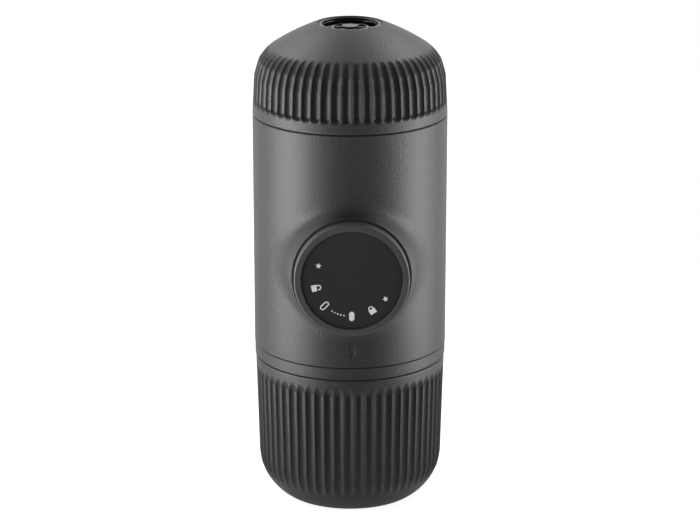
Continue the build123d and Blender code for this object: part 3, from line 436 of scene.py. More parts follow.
def mark_sharp(mesh, angle=radians(34)):
    """Smooth faces with sharp edges where the surface turns by more than the angle."""
    with reshaped(mesh) as shape:
        for face in shape.faces:
            face.smooth = True
        for edge in shape.edges:
            edge.smooth = len(edge.link_faces) != 2 or edge.calc_face_angle(0) < angle


def merged_copy(node):
    """The solid's own shape as one joined mesh with smooth faces and sharp edges."""
    mesh = NODES[node].data.copy()
    with reshaped(mesh) as shape:
        bmesh.ops.remove_doubles(shape, verts=shape.verts, dist=0.002 * MM)
        bmesh.ops.dissolve_degenerate(shape, edges=shape.edges, dist=0.0005 * MM)
    mark_sharp(mesh)
    return mesh


def grown(name, build, inputs, base=None):
    """Runs a Geometry Nodes tree on a base mesh, or on nothing, and returns the plain mesh.

    The function build fills the tree, which is made once for all the pieces that share it.
    """
    title = build.__name__.replace("_", " ").title()
    tree = bpy.data.node_groups.get(title)
    if not tree:
        sockets = {"Geometry": None} | inputs
        tree, given, made = new_group(title, sockets, {"Geometry": "Geometry"}, "GeometryNodeTree")
        real = geo(tree, "RealizeInstances", {0: build(tree, given)})
        painted = {"Geometry": real, "Material": given["Material"]}
        feed(tree, made, {0: geo(tree, "SetMaterial", painted)})
    holder = bpy.data.objects.new(name, base or bpy.data.meshes.new(name))
    bpy.context.scene.collection.objects.link(holder)
    modifier = holder.modifiers.new("Build", "NODES")
    modifier.node_group = tree
    for item in tree.interface.items_tree:
        if item.item_type == "SOCKET" and item.in_out == "INPUT" and item.name in inputs:
            modifier[item.identifier] = inputs[item.name]
    mesh = evaluated(holder)
    bpy.data.objects.remove(holder)
    return mesh


def evaluated(holder):
    """The plain mesh that an object's modifiers make; the modifiers go."""
    depsgraph = bpy.context.evaluated_depsgraph_get()
    mesh = bpy.data.meshes.new_from_object(holder.evaluated_get(depsgraph))
    holder.modifiers.clear()
    return mesh


def gathered(tree, *parts):
    """Geometry Nodes: the parts as one geometry."""
    join = place(tree, "GeometryNodeJoinGeometry")
    for part in parts:
        feed(tree, join, {0: part})
    return Wire(tree, join.outputs[0])


def thickened(tree, sheet, thickness, weld):
    """Geometry Nodes: a flat sheet as a closed slab, welded within a distance."""
    lift = put(tree, "CombineXYZ", {"Z": thickness})
    raised = geo(
        tree,
        "ExtrudeMesh",
        {"Mesh": sheet, "Offset": lift, "Offset Scale": 1.0, "Individual": False},
    )
    under = geo(tree, "FlipFaces", {"Mesh": sheet})
    closed = gathered(tree, raised, under)
    return geo(tree, "MergeByDistance", {"Geometry": closed, "Distance": weld})


def lifted(tree, geometry, height):
    """Geometry Nodes: the geometry moved up."""
    up = put(tree, "CombineXYZ", {"Z": height})
    return geo(tree, "Transform", {"Geometry": geometry, "Translation": up})


# ---- ribbed skins


def arc_points(centre, radius, start, end, count):
    """Points on an arc in the (radius, height) plane, angles in degrees from straight outwards."""
    angles = [radians(start + (end - start) * i / count) for i in range(count + 1)]
    return [(centre[0] + radius * cos(a), centre[1] + radius * sin(a)) for a in angles]


def line_points(start, end, count):
    """Evenly spaced points from start to end."""
    return [tuple(a + (b - a) * i / count for a, b in zip(start, end)) for i in range(count + 1)]


def stretched(start, through, share):
    """The point that lies a share of the way from start through another point."""
    return tuple(a + (b - a) * share for a, b in zip(start, through))


def joined(*runs):
    """Runs of points as one path without repeats."""
    path = []
    for run in runs:
        path += [
            p
            for p in run
            if not path or hypot(p[0] - path[-1][0], p[1] - path[-1][1]) > 0.01 * MM
        ]
    return path


def depth_under(point, normal, floor):
    """How far under a skin point the groove's floor lies, along the inward normal."""
    best = NO_GROOVE
    for number, (a, b) in enumerate(zip(floor, floor[1:])):
        run = (b[0] - a[0], b[1] - a[1])
        cross = run[0] * -normal[1] - run[1] * -normal[0]
        if abs(cross) < 1e-12:
            continue
        gap = (point[0] - a[0], point[1] - a[1])
        along = (-normal[1] * gap[0] + normal[0] * gap[1]) / cross
        depth = (run[1] * gap[0] - run[0] * gap[1]) / cross
        starts = along >= 0 or number == 0
        ends = along <= 1 or number == len(floor) - 2
        if starts and ends and depth > best:
            best = depth
    return best


def groove_angles(settings, turn):
    """Column angles, closer together at the edges of each groove."""
    half = settings.columns // 2
    edge = 0.84  # share of half a groove where the close columns begin
    shares = [edge * sin(pi / 2 * i / (half - 3)) for i in range(half - 2)]
    shares += [edge + (1 - edge) * share for share in (0.3, 0.65, 1.0)]
    pitch = 2 * pi / settings.count
    angles = []
    for groove in range(settings.count):
        middle = turn + groove * pitch
        angles += [middle - share * pitch / 2 for share in reversed(shares[1:])]
        angles += [middle + share * pitch / 2 for share in shares[:-1]]
    return angles


def turned_skin(path, skin, floor, angles, caps=True):
    """A turned closed shell whose points carry the depth of the groove below them.

    Points of the path from the first to the second number of skin are grooved; with caps its
    ends close flat, and otherwise the path closes on itself.
    """
    mesh = bpy.data.meshes.new("skin")
    columns = len(angles)
    faces = []
    rows = len(path) if caps else len(path) + 1
    for row in range(rows - 1):
        low, high = row * columns, (row + 1) % len(path) * columns
        for i in range(columns):
            j = (i + 1) % columns
            faces.append((low + i, low + j, high + j, high + i))
    if caps:
        faces.append(tuple(reversed(range(columns))))
        last = (len(path) - 1) * columns
        faces.append(tuple(last + i for i in range(columns)))
    mesh.from_pydata([(r * cos(a), r * sin(a), z) for r, z in path for a in angles], [], faces)
    depth = mesh.attributes.new("floor_depth", "FLOAT", "POINT")
    outward = mesh.attributes.new("outward", "FLOAT_VECTOR", "POINT")
    depths, directions = [], []
    for i, point in enumerate(path):
        before, after = path[max(i - 1, 0)], path[min(i + 1, len(path) - 1)]
        tangent = (after[0] - before[0], after[1] - before[1])
        size = hypot(*tangent)
        normal = (tangent[1] / size, -tangent[0] / size)
        grooved = skin[0] <= i <= skin[1]
        depths += [depth_under(point, normal, floor) if grooved else NO_GROOVE] * columns
        for a in angles:
            directions += [normal[0] * cos(a), normal[0] * sin(a), normal[1]]
    depth.data.foreach_set("value", depths)
    outward.data.foreach_set("vector", directions)
    return mesh


def scooped_ribs(tree, given):
    """Geometry Nodes: presses round-bottomed grooves into a skin, with softened ridges."""
    named = "InputNamedAttribute"
    where = geo(tree, "InputPosition")
    split = place(tree, "ShaderNodeSeparateXYZ", {0: where}).outputs
    x, y = Wire(tree, split[0]), Wire(tree, split[1])
    pitch = 2 * pi / given["Ribs"]
    around = calc(tree, "ARCTAN2", y, x) - given["Turn"]
    aside = (calc(tree, "FRACT", around / pitch + 0.5) - 0.5) * pitch
    across = calc(tree, "SINE", aside) * calc(tree, "SQRT", x**2.0 + y**2.0)
    radius = given["Groove Radius"]
    room = calc(tree, "MAXIMUM", radius**2.0 - across**2.0, 0.0)
    bowl = radius - calc(tree, "SQRT", room)
    depth = geo(tree, named, {"Name": "floor_depth"}, data_type="FLOAT")
    outward = geo(tree, named, {"Name": "outward"}, data_type="FLOAT_VECTOR")
    soft = calc(tree, "SMOOTH_MAX", depth - bowl, 0.0, given["Softness"])
    grooved = calc(tree, "GREATER_THAN", depth, 0.9 * NO_GROOVE)
    push = put(tree, "VectorMath", {0: outward, "Scale": soft * grooved * -1.0}, operation="SCALE")
    moved = geo(tree, "SetPosition", {"Geometry": given["Geometry"], "Offset": push})
    return moved


def ribbed_piece(name, path, skin, floor, turn, node, caps=True):
    """A ribbed shell that stands for its solid."""
    ribs = bpy.context.scene.espresso_ribs
    sizes = {
        "Ribs": ribs.count,
        "Groove Radius": ribs.radius,
        "Softness": ribs.softness,
        "Turn": turn,
        "Material": bpy.data.materials[finish_of(node)[1]],
    }
    base = turned_skin(path, skin, floor, groove_angles(ribs, turn), caps)
    mesh = grown(name, scooped_ribs, sizes, base)
    for attribute in ("floor_depth", "outward"):
        mesh.attributes.remove(mesh.attributes[attribute])
    with reshaped(mesh) as shape:
        bmesh.ops.recalc_face_normals(shape, faces=shape.faces)
    mark_sharp(mesh, radians(50))
    return stand_in(node, mesh, name)


class ESPRESSO_OT_cup(bpy.types.Operator):
    """Build the ribbed cup"""

    bl_idname = "espresso.cup"
    bl_label = "Ribbed Cup"

    def execute(self, context):
        ribs = context.scene.espresso_ribs
        lean, wall = 0.8 * MM, 2.2 * MM
        rim = BODY_RADIUS - 0.3 * MM
        side = rim - lean
        corner = 17 * MM
        centre = (side - corner, 14.5 * MM)
        mouth, inner, floor_z = rim - wall, corner - wall, 2.6 * MM
        edge = 0.25 * MM
        foot_reach = sqrt(corner**2 - centre[1] ** 2)
        foot_turn = degrees(atan2(centre[1], foot_reach))
        inner_rise = centre[1] - floor_z
        inner_turn = degrees(atan2(inner_rise, sqrt(inner**2 - inner_rise**2)))
        flat = centre[0] + foot_reach
        lip_z, ledge_z = CUP_TOP - 7.5 * MM, CUP_TOP - 0.35 * MM
        lip = (rim - 0.2 * MM, lip_z)
        path = joined(
            [(flat - 1.2 * MM, 0.0), (flat - 0.45 * MM, 0.05 * MM), (flat + 0.15 * MM, 0.2 * MM)],
            arc_points(centre, corner, -foot_turn + 2.0, 0, 30),
            line_points((side, centre[1]), lip, 10),
            line_points(lip, (rim - 0.01 * MM, CUP_TOP - 0.45 * MM), 16),
        )
        grooved = (2, len(path) - 1)
        path += [
            (rim - 0.1 * MM, ledge_z),
            (rim - 0.7 * MM, ledge_z),
            (rim - 0.7 * MM, CUP_TOP),
            (mouth + edge, CUP_TOP),
            (mouth, CUP_TOP - edge),
            (mouth, lip_z),
            (mouth - 0.3 * MM, lip_z),
        ]
        path += arc_points(centre, inner, 0, -inner_turn, 10)
        groove = side - ribs.depth
        top_z = CUP_TOP - 6 * MM
        top = groove + lean / (CUP_TOP - centre[1]) * (top_z - centre[1])
        deep, shallow = (groove, 13 * MM), (top, top_z)
        run_out = 1.6  # how far the floor runs on past the skin, as a share
        floor = [
            stretched(deep, (28.0 * MM, 6.9 * MM), run_out),
            deep,
            shallow,
            stretched(shallow, (rim, CUP_TOP - 3 * MM), run_out),
        ]
        ribbed_piece("ribbed_cup", path, grooved, floor, radians(-1.6), "cup")
        return {"FINISHED"}


class ESPRESSO_OT_head(bpy.types.Operator):
    """Build the ribbed outlet head"""

    bl_idname = "espresso.head"
    bl_label = "Ribbed Outlet Head"

    def execute(self, context):
        ribs = context.scene.espresso_ribs
        seam = 0.7 * MM
        lean, lean_height = 0.55, 11.9
        shoulder_z = BODY_TOP + lean_height * MM
        side = BODY_RADIUS - lean * MM
        draft = atan2(lean, lean_height)
        radius = 12.6 * MM
        centre = (side - radius * cos(draft), shoulder_z - radius * sin(draft))
        turned_to = degrees(draft) + 54
        shoulder = arc_points(centre, radius, degrees(draft), turned_to, 26)
        rim = (10.8 * MM, HEAD_TOP)
        bore, collar, inside, step = 10.1 * MM, 12.5 * MM, 25 * MM, 26.85 * MM
        foot_z, collar_z = BODY_TOP + seam / 2, HEAD_TOP - 9.5 * MM
        foot = (BODY_RADIUS, foot_z + 0.1 * MM)
        waist = (BODY_RADIUS - 0.3 * MM, BODY_TOP + 6.5 * MM)
        path = joined(
            [(BODY_RADIUS - seam, BODY_TOP), (BODY_RADIUS - seam, foot_z)],
            line_points((BODY_RADIUS - 0.1 * MM, foot_z), foot, 1),
            line_points(foot, waist, 16),
            line_points(waist, (side, shoulder_z), 4),
            shoulder,
            tangent_arc(shoulder[-1], radians(turned_to + 90), rim, 14),
        )
        grooved = (3, len(path) - 4)
        path += [
            (bore + 0.1 * MM, HEAD_TOP),
            (bore, HEAD_TOP - 0.1 * MM),
            (bore, collar_z),
            (collar, collar_z),
            (collar, HEAD_TOP - 3.9 * MM),
            (inside, BODY_TOP + 16.07 * MM),
            (inside, BODY_TOP + 10.9 * MM),
            (step, BODY_TOP + 10.9 * MM),
            (step, BODY_TOP + 8.9 * MM),
            (HEAD_BORE, BODY_TOP + 8.9 * MM),
            (HEAD_BORE, BODY_TOP),
        ]

        def floor_at(height):
            return (BODY_RADIUS - ribs.depth - lean / lean_height * height, BODY_TOP + height)

        def beyond(point, rise, tilt):
            return (point[0] - rise * tan(radians(tilt)), point[1] + rise)

        start = floor_at(4.5 * MM)
        bend = floor_at(12.3 * MM)
        crest = beyond(bend, 4.6 * MM, 13.4)
        tip = (25.3 * MM, BODY_TOP + 21.5 * MM)
        floor = [beyond(start, -4 * MM, 52), start, bend, crest, stretched(crest, tip, 1.6)]
        turn = radians(-90) + pi / ribs.count
        piece = ribbed_piece("ribbed_head", path, grooved, floor, turn, "outlet_head", caps=False)
        notch(piece, radians(-66), 10.95 * MM, 1.6 * MM, HEAD_TOP - 2.05 * MM)
        return {"FINISHED"}


def tangent_arc(start, heading, end, count):
    """Points of the arc that leaves start along a heading and passes through end."""
    normal = (-sin(heading), cos(heading))
    gap = (end[0] - start[0], end[1] - start[1])
    radius = (gap[0] ** 2 + gap[1] ** 2) / (2 * (gap[0] * normal[0] + gap[1] * normal[1]))
    centre = (start[0] + normal[0] * radius, start[1] + normal[1] * radius)
    first, last = (degrees(atan2(p[1] - centre[1], p[0] - centre[0])) for p in (start, end))
    return arc_points(centre, abs(radius), first, last, count)


def notch(piece, angle, reach, half_width, bottom_z):
    """Cuts the slot for the nozzle's key into the rim of the head."""
    cutter = bpy.data.meshes.new("notch")
    height = 6 * MM
    spot = (
        Matrix.Rotation(angle, 4, "Z")
        @ Matrix.Translation((reach / 2, 0, bottom_z + height / 2))
        @ Matrix.Diagonal((reach, half_width * 2, height, 1))
    )
    with reshaped(cutter) as shape:
        bmesh.ops.create_cube(shape, size=1.0)
        bmesh.ops.transform(shape, matrix=spot, verts=shape.verts)
    tool = bpy.data.objects.new("notch", cutter)
    bpy.context.scene.collection.objects.link(tool)
    cut = piece.modifiers.new("Notch", "BOOLEAN")
    cut.object, cut.operation, cut.solver = tool, "DIFFERENCE", "EXACT"
    piece.data = evaluated(piece)
    bpy.data.objects.remove(tool)


# ---- screw threads


def screw_thread(tree, given):
    """Geometry Nodes: rounded threads wound round an upright axis, as many as there are starts."""
    run_out, thinnest = 14.0, 0.08  # steepness of the ends, and how thin they start
    spiral = geo(
        tree,
        "CurveSpiral",
        {
            "Resolution": 96,
            "Rotations": given["Turns"],
            "Start Radius": given["Radius"],
            "End Radius": given["Radius"],
            "Height": given["Lead"] * given["Turns"],
            "Reverse": True,
        },
    )
    along = geo(tree, "SplineParameter")
    ends = calc(tree, "MINIMUM", along, 1.0 - along)
    swell = calc(tree, "MINIMUM", ends * run_out, 1.0)
    shaped = geo(
        tree,
        "SetCurveRadius",
        {"Curve": spiral, "Radius": calc(tree, "MAXIMUM", swell, thinnest)},
    )
    profile = geo(tree, "CurvePrimitiveCircle", {"Resolution": 12, "Radius": given["Bead"]})
    bead = geo(
        tree,
        "CurveToMesh",
        {"Curve": shaped, "Profile Curve": profile, "Scale": swell, "Fill Caps": True},
    )
    points = geo(tree, "MeshLine", {"Count": given["Starts"], "Offset": (0, 0, 0)})
    turn = geo(tree, "InputIndex") * (2 * pi / given["Starts"])
    spin = put(tree, "CombineXYZ", {"Z": turn})
    copies = geo(tree, "InstanceOnPoints", {"Points": points, "Instance": bead, "Rotation": spin})
    return lifted(tree, copies, given["Bottom"])


class ESPRESSO_OT_threads(bpy.types.Operator):
    """Wind the threads of the tank and of the outlet head"""

    bl_idname = "espresso.threads"
    bl_label = "Screw Threads"

    def execute(self, context):
        sizes = context.scene.espresso_thread
        turns = 0.7
        outer, inner = ("shell_plastic", "Moulded Plastic"), ("inner_plastic", "Inner Plastic")
        # name, radius of the wall that carries it, foot, body, slot and material
        for name, radius, bottom, body, (slot, material) in (
            ("tank_thread", 26.6 * MM, BODY_FOOT + 1.4 * MM, "tank", ("tank_plastic", outer[1])),
            ("socket_thread", 27.6 * MM, BODY_FOOT + 2.6 * MM, "main_body", inner),
            ("neck_thread", 27.3 * MM, BODY_TOP + 1.2 * MM, "main_body", inner),
            ("head_thread", HEAD_BORE, BODY_TOP + 2.6 * MM, "outlet_head", outer),
        ):
            values = {
                "Starts": sizes.starts,
                "Turns": turns,
                "Lead": sizes.lead,
                "Radius": radius,
                "Bottom": bottom,
                "Bead": sizes.bead,
                "Material": bpy.data.materials[material],
            }
            mesh = grown(name, screw_thread, values)
            mesh.polygons.foreach_set("use_smooth", [True] * len(mesh.polygons))
            link(name, mesh, material, body, slot)
        return {"FINISHED"}


# ---- dressed solids


def dress_all(*nodes):
    """Stands a joined, smooth copy in for each solid, in its own finish."""
    for node in nodes:
        stand_in(node, merged_copy(node))


def swell_boss(mesh, sizes):
    """Blends the knob's boss into the body with a wide, soft fillet, on the skin's own points."""
    front = -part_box("body_shell")[0].y
    draft = tan(sizes.draft)
    edge_room, skin_depth, skin_height = 2 * MM, 0.1 * MM, 0.9 * MM
    index_half, index_top = 1.3 * MM, KNOB_Z - 20 * MM
    nudge = 0.01 * MM

    def distances(p):
        """How far a point lies outside the round wall, and outside the boss's side."""
        boss = hypot(p.x, p.z - KNOB_Z) - sizes.boss - (front + p.y) * draft
        return hypot(p.x, p.y) - BODY_RADIUS, boss * cos(sizes.draft)

    def outside(p):
        wall, boss = distances(p)
        blend = max(sizes.blend - abs(wall - boss), 0) / sizes.blend
        return min(wall, boss) - blend**2 * sizes.blend / 4

    def on_skin(p):
        wall, boss = distances(p)
        upright = BODY_FOOT + edge_room < p.z < BODY_TOP - edge_room
        forward = -front + 0.2 * MM < p.y < -1 * MM
        return upright and forward and -skin_depth < min(wall, boss) < skin_height

    def too_long(edge):
        return edge.calc_length() > sizes.step and all(
            v.co.y < 0 and hypot(v.co.x, v.co.y) > BODY_RADIUS - 0.2 * MM for v in edge.verts
        )

    with reshaped(mesh) as shape:
        for _ in range(8):
            edges = [edge for edge in shape.edges if too_long(edge)]
            if not edges:
                break
            bmesh.ops.subdivide_edges(
                shape, edges=edges, cuts=1, use_grid_fill=True, use_single_edge=True
            )
            bmesh.ops.triangulate(shape, faces=[f for f in shape.faces if len(f.verts) > 3])
        for vertex in shape.verts:
            spot = vertex.co
            if spot.z < BODY_FOOT + 0.05 * MM:
                spot.z += sizes.seam
            in_index = abs(spot.x) < index_half and spot.z < index_top
            if in_index and 0.4 * MM < BODY_RADIUS + spot.y < 0.6 * MM:
                spot.y -= sizes.index
            if not on_skin(spot):
                continue
            for _ in range(4):
                here = outside(vertex.co)
                slope = Vector(
                    [
                        (outside(vertex.co + Vector(axis) * nudge) - here) / nudge
                        for axis in Matrix.Identity(3)
                    ]
                )
                vertex.co -= slope * (here / slope.length_squared)
        bmesh.ops.recalc_face_normals(shape, faces=shape.faces)
    mark_sharp(mesh)


class ESPRESSO_OT_body(bpy.types.Operator):
    """Finish the body shell and the tank"""

    bl_idname = "espresso.body"
    bl_label = "Body and Tank"

    def execute(self, context):
        dress_all("water_tank", "tank_socket")
        mesh = merged_copy("body_shell")
        swell_boss(mesh, context.scene.espresso_body)
        stand_in("body_shell", mesh)
        return {"FINISHED"}


class ESPRESSO_OT_knob(bpy.types.Operator):
    """Finish the pump knob"""

    bl_idname = "espresso.knob"
    bl_label = "Pump Knob"

    def execute(self, context):
        rise = context.scene.espresso_body.knob_rise
        rim_inside = 17 * MM
        dress_all("face_plate")
        mesh = merged_copy("piston_knob")
        for vertex in mesh.vertices:
            reach = hypot(vertex.co.x, vertex.co.z - KNOB_Z)
            if reach > rim_inside:
                share = 1 + rise / reach
                vertex.co.x *= share
                vertex.co.z = KNOB_Z + (vertex.co.z - KNOB_Z) * share
        stand_in("piston_knob", mesh)
        return {"FINISHED"}


def raise_spokes(mesh, sizes):
    """Lifts the spokes, the hub and the rim's top in the nozzle, and rounds the spokes' edges."""
    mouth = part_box("nozzle")[1]
    top = HEAD_TOP - 3.4 * MM  # of the solid's spokes
    hub_height, rim_width = 0.95 * MM, 1.0 * MM

    def on_spoke_edge(edge):
        return edge.calc_face_angle_signed(0) > radians(60) and all(
            abs(v.co.z - top - sizes.raised) < 0.02 * MM for v in edge.verts
        )

    with reshaped(mesh) as shape:
        spokes = [
            v
            for v in shape.verts
            if -0.1 * MM < v.co.z - top < hub_height
            and hypot(v.co.x, v.co.y) < mouth.x - rim_width
        ]
        for vertex in shape.verts:
            if vertex.co.z > mouth.z - 0.05 * MM:
                vertex.co.z += sizes.rim_rise
        for vertex in spokes:
            vertex.co.z += sizes.raised
        bmesh.ops.dissolve_limit(
            shape, angle_limit=radians(1), verts=shape.verts, edges=shape.edges
        )
        bmesh.ops.bevel(
            shape,
            geom=[edge for edge in shape.edges if on_spoke_edge(edge)],
            offset=sizes.softness,
            segments=4,
            affect="EDGES",
            profile=0.5,
            clamp_overlap=True,
        )
        bmesh.ops.triangulate(shape, faces=[f for f in shape.faces if len(f.verts) > 4])
        bmesh.ops.recalc_face_normals(shape, faces=shape.faces)
    mark_sharp(mesh)
    for polygon in mesh.polygons:
        polygon.use_smooth = polygon.normal.z < 0.9995


class ESPRESSO_OT_nozzle(bpy.types.Operator):
    """Finish the nozzle, the crema valve and the funnel"""

    bl_idname = "espresso.nozzle"
    bl_label = "Nozzle"

    def execute(self, context):
        dress_all("crema_valve", "coffee_funnel")
        mesh = merged_copy("nozzle")
        raise_spokes(mesh, context.scene.espresso_nozzle)
        stand_in("nozzle", mesh)
        return {"FINISHED"}


class ESPRESSO_OT_brew_group(bpy.types.Operator):
    """Finish the brew group, the filter basket and the seals"""

    bl_idname = "espresso.brew_group"
    bl_label = "Brew Group"

    def execute(self, context):
        dress_all("group_housing", "filter_basket", "head_seal", "tank_gasket", "cup_o_ring")
        dress_all("intake_tube", "intake_strainer", "lock_sleeve", "sleeve_retainer", "air_valve")
        return {"FINISHED"}


class ESPRESSO_OT_hidden(bpy.types.Operator):
    """Give the remaining solids their materials"""

    bl_idname = "espresso.hidden"
    bl_label = "Hidden Solids"

    def execute(self, context):
        for node, solid in NODES.items():
            if solid.hide_render:
                continue
            slot, material = finish_of(node)
            solid.data.materials.clear()
            solid.data.materials.append(bpy.data.materials[material])
        return {"FINISHED"}


# ---- perforated screens


def perforated_disc(tree, given):
    """Geometry Nodes: a disc of hexagonal cells, each with a round hole."""
    circle, weld = "CurvePrimitiveCircle", 0.01 * MM
    pitch, radius = given["Pitch"], given["Disc Radius"]
    rows = calc(tree, "CEIL", radius * 2.4 / pitch)
    width = rows * pitch
    grid = geo(
        tree,
        "MeshGrid",
        {"Size X": width, "Size Y": width, "Vertices X": rows, "Vertices Y": rows},
    )
    number = geo(tree, "InputIndex")
    column = calc(tree, "FLOOR", number / rows)
    row = number - column * rows
    half = rows / 2.0
    x = (column - half + calc(tree, "MODULO", row, 2.0) * 0.5) * pitch
    y = (row - half) * pitch * (sqrt(3) / 2)
    spot = put(tree, "CombineXYZ", {"X": x, "Y": y})
    laid = geo(tree, "SetPosition", {"Geometry": grid, "Position": spot})
    reach = calc(tree, "SQRT", x**2.0 + y**2.0)
    inside = calc(tree, "LESS_THAN", reach, radius - pitch)
    outer = geo(tree, circle, {"Resolution": 6, "Radius": pitch / sqrt(3)})
    hexagon = geo(tree, "Transform", {"Geometry": outer, "Rotation": (0, 0, pi / 6)})
    hole = geo(tree, circle, {"Resolution": 12, "Radius": given["Hole Radius"]})
    cell = geo(tree, "FillCurve", {"Curve": gathered(tree, hexagon, hole)})
    cells = geo(tree, "InstanceOnPoints", {"Points": laid, "Selection": inside, "Instance": cell})
    real = geo(tree, "RealizeInstances", {0: cells})
    sheet = geo(tree, "MergeByDistance", {"Geometry": real, "Distance": weld})
    disc = thickened(tree, sheet, given["Thickness"], weld)
    return lifted(tree, disc, given["Bottom"])


class ESPRESSO_OT_screens(bpy.types.Operator):
    """Build the fine screen of the filter basket"""

    bl_idname = "espresso.screens"
    bl_label = "Screens"

    def execute(self, context):
        low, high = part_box("basket_screen")
        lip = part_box("head_seal")[1].x - 5 * MM
        sizes = {
            "Disc Radius": lip + 1.3 * MM,
            "Pitch": 1.25 * MM,
            "Hole Radius": 0.3 * MM,
            "Thickness": high.z - low.z,
            "Bottom": low.z,
            "Material": bpy.data.materials["Turned Steel"],
        }
        mesh = grown("fine_screen", perforated_disc, sizes)
        with reshaped(mesh) as shape:
            add_ring(shape, lip - 0.6 * MM, high.x, low.z, high.z)
        stand_in("basket_screen", mesh, "fine_screen")
        return {"FINISHED"}


def add_ring(shape, inner, outer, bottom, top, count=96):
    """Adds a flat closed ring to a bmesh."""
    turns = [2 * pi * i / count for i in range(count)]
    rings = [
        [shape.verts.new((r * cos(turn), r * sin(turn), z)) for turn in turns]
        for r, z in ((inner, bottom), (outer, bottom), (outer, top), (inner, top))
    ]
    for low, high in zip(rings, rings[1:] + rings[:1]):
        walls(shape, low, high)


def walls(shape, low, high, inward=False):
    """Adds the faces between two rings of points to a bmesh."""
    for i in range(len(low)):
        j = (i + 1) % len(low)
        corners = (low[i], low[j], high[j], high[i])
        shape.faces.new(corners[::-1] if inward else corners)


# ---- printed marks


def marks_on_arc(tree, given):
    """Geometry Nodes: small raised dots or stars set along an arc, on a plane facing +Z."""
    star_sizes = {key: given[key] for key in ("Points", "Inner Radius", "Outer Radius")}
    star = geo(tree, "CurveStar", star_sizes)
    filled = geo(tree, "FillCurve", {"Curve": star})
    mark = thickened(tree, filled, given["Thickness"], 0.001 * MM)
    line = geo(tree, "MeshLine", {"Count": given["Count"], "Offset": (0, 0, 0)})
    turn = given["First Angle"] + geo(tree, "InputIndex") * given["Step"]
    reach = given["Arc Radius"]
    spot = put(
        tree,
        "CombineXYZ",
        {"X": calc(tree, "COSINE", turn) * reach, "Y": calc(tree, "SINE", turn) * reach},
    )
    laid = geo(tree, "SetPosition", {"Geometry": line, "Position": spot})
    spin = put(tree, "CombineXYZ", {"Z": turn})
    copies = geo(tree, "InstanceOnPoints", {"Points": laid, "Instance": mark, "Rotation": spin})
    return copies


def pill(length, width, count=10):
    """Outline of a pill that lies along +X, centred on the origin."""
    ends = []
    for side in (0, pi):
        for i in range(count + 1):
            turn = side - pi / 2 + pi * i / count
            reach = cos(side) * (length - width) / 2
            ends.append((reach + width / 2 * cos(turn), width / 2 * sin(turn)))
    return ends


def band(path, width):
    """Closed outline of a line of even width along a path."""
    left, right = [], []
    for i, point in enumerate(path):
        before, after = path[max(i - 1, 0)], path[min(i + 1, len(path) - 1)]
        along = (after[0] - before[0], after[1] - before[1])
        size = hypot(*along)
        side = (-along[1] / size * width / 2, along[0] / size * width / 2)
        left.append((point[0] + side[0], point[1] + side[1]))
        right.append((point[0] - side[0], point[1] - side[1]))
    return left + right[::-1]


def padlock(opened):
    """Outlines of a padlock icon that stands along +Y: its case and its shackle."""
    half, foot, top = 1.05, -1.1, 0.5
    reach, bow = 0.68, (0.9 if opened else 0.45) + 0.2
    case = [(-half, foot), (half, foot), (half, top), (-half, top)]
    turns = [pi * i / 12 for i in range(1, 12)]
    shackle = [(-reach, top), (-reach, bow)]
    shackle += [(-reach * cos(turn), bow + reach * sin(turn)) for turn in turns]
    shackle += [(reach, bow), (reach, 0.85 if opened else top)]
    return [[(x * MM, y * MM) for x, y in outline] for outline in (case, band(shackle, 0.36))]


def add_slab(shape, outline, spot, turn, thickness, hole=None):
    """Adds a thin slab with the given outline, turned and moved to its spot, and maybe a hole."""

    def ring(points, height):
        return [
            shape.verts.new(
                (
                    spot[0] + x * cos(turn) - y * sin(turn),
                    spot[1] + x * sin(turn) + y * cos(turn),
                    height,
                )
            )
            for x, y in points
        ]

    low, high = ring(outline, 0), ring(outline, thickness)
    walls(shape, low, high)
    if hole:
        hole_low, hole_high = ring(hole, 0), ring(hole, thickness)
        walls(shape, hole_low, hole_high, inward=True)
        walls(shape, high, hole_high)
        walls(shape, low, hole_low, inward=True)
    else:
        shape.faces.new(high)
        shape.faces.new(low[::-1])


class ESPRESSO_OT_marks(bpy.types.Operator):
    """Print the marks on the knob's front plate"""

    bl_idname = "espresso.marks"
    bl_label = "Printed Marks"

    def execute(self, context):
        thickness = 0.04 * MM
        in_front = Matrix.Translation((0, -PLATE_FRONT + 0.01 * MM, KNOB_Z))
        upright = in_front @ Matrix.Rotation(pi / 2, 4, "X")
        # name, count, arc radius in mm, first angle, step, points, outer and inner radius in mm
        for name, count, reach, first, step, points, outer, inner in (
            ("travel_dots", 5, 11.6, -102.0, -5.0, 16, 0.24, 0.24),
            ("star_left", 1, 11.3, 155, 0, 5, 0.95, 0.45),
            ("star_right", 1, 12.0, -30, 0, 5, 0.95, 0.45),
        ):
            sizes = {
                "Count": count,
                "Arc Radius": reach * MM,
                "First Angle": radians(first),
                "Step": radians(step),
                "Points": points,
                "Outer Radius": outer * MM,
                "Inner Radius": inner * MM,
                "Thickness": thickness,
                "Material": bpy.data.materials["White Ink"],
            }
            mesh = grown(name, marks_on_arc, sizes)
            mesh.transform(upright)
            link(name, mesh, "White Ink", "piston", "plate_plastic")
        down, aside = radians(-90), radians(-136)
        filled = pill(3.05 * MM, 1.6 * MM)
        outlined, hole = pill(3.3 * MM, 1.65 * MM), pill(3.3 * MM - 0.75 * MM, 0.9 * MM)
        mesh = bpy.data.meshes.new("lock_marks")
        with reshaped(mesh) as shape:
            add_slab(shape, filled, on_arc(11.6, down), down, thickness)
            add_slab(shape, outlined, on_arc(11.7, aside), aside, thickness, hole)
            for opened, turn in ((False, radians(-57)), (True, radians(-168))):
                for outline in padlock(opened):
                    add_slab(shape, outline, on_arc(11.6, turn), turn + pi / 2, thickness)
        mesh.transform(upright)
        link("lock_marks", mesh, "White Ink", "piston", "plate_plastic")
        return {"FINISHED"}


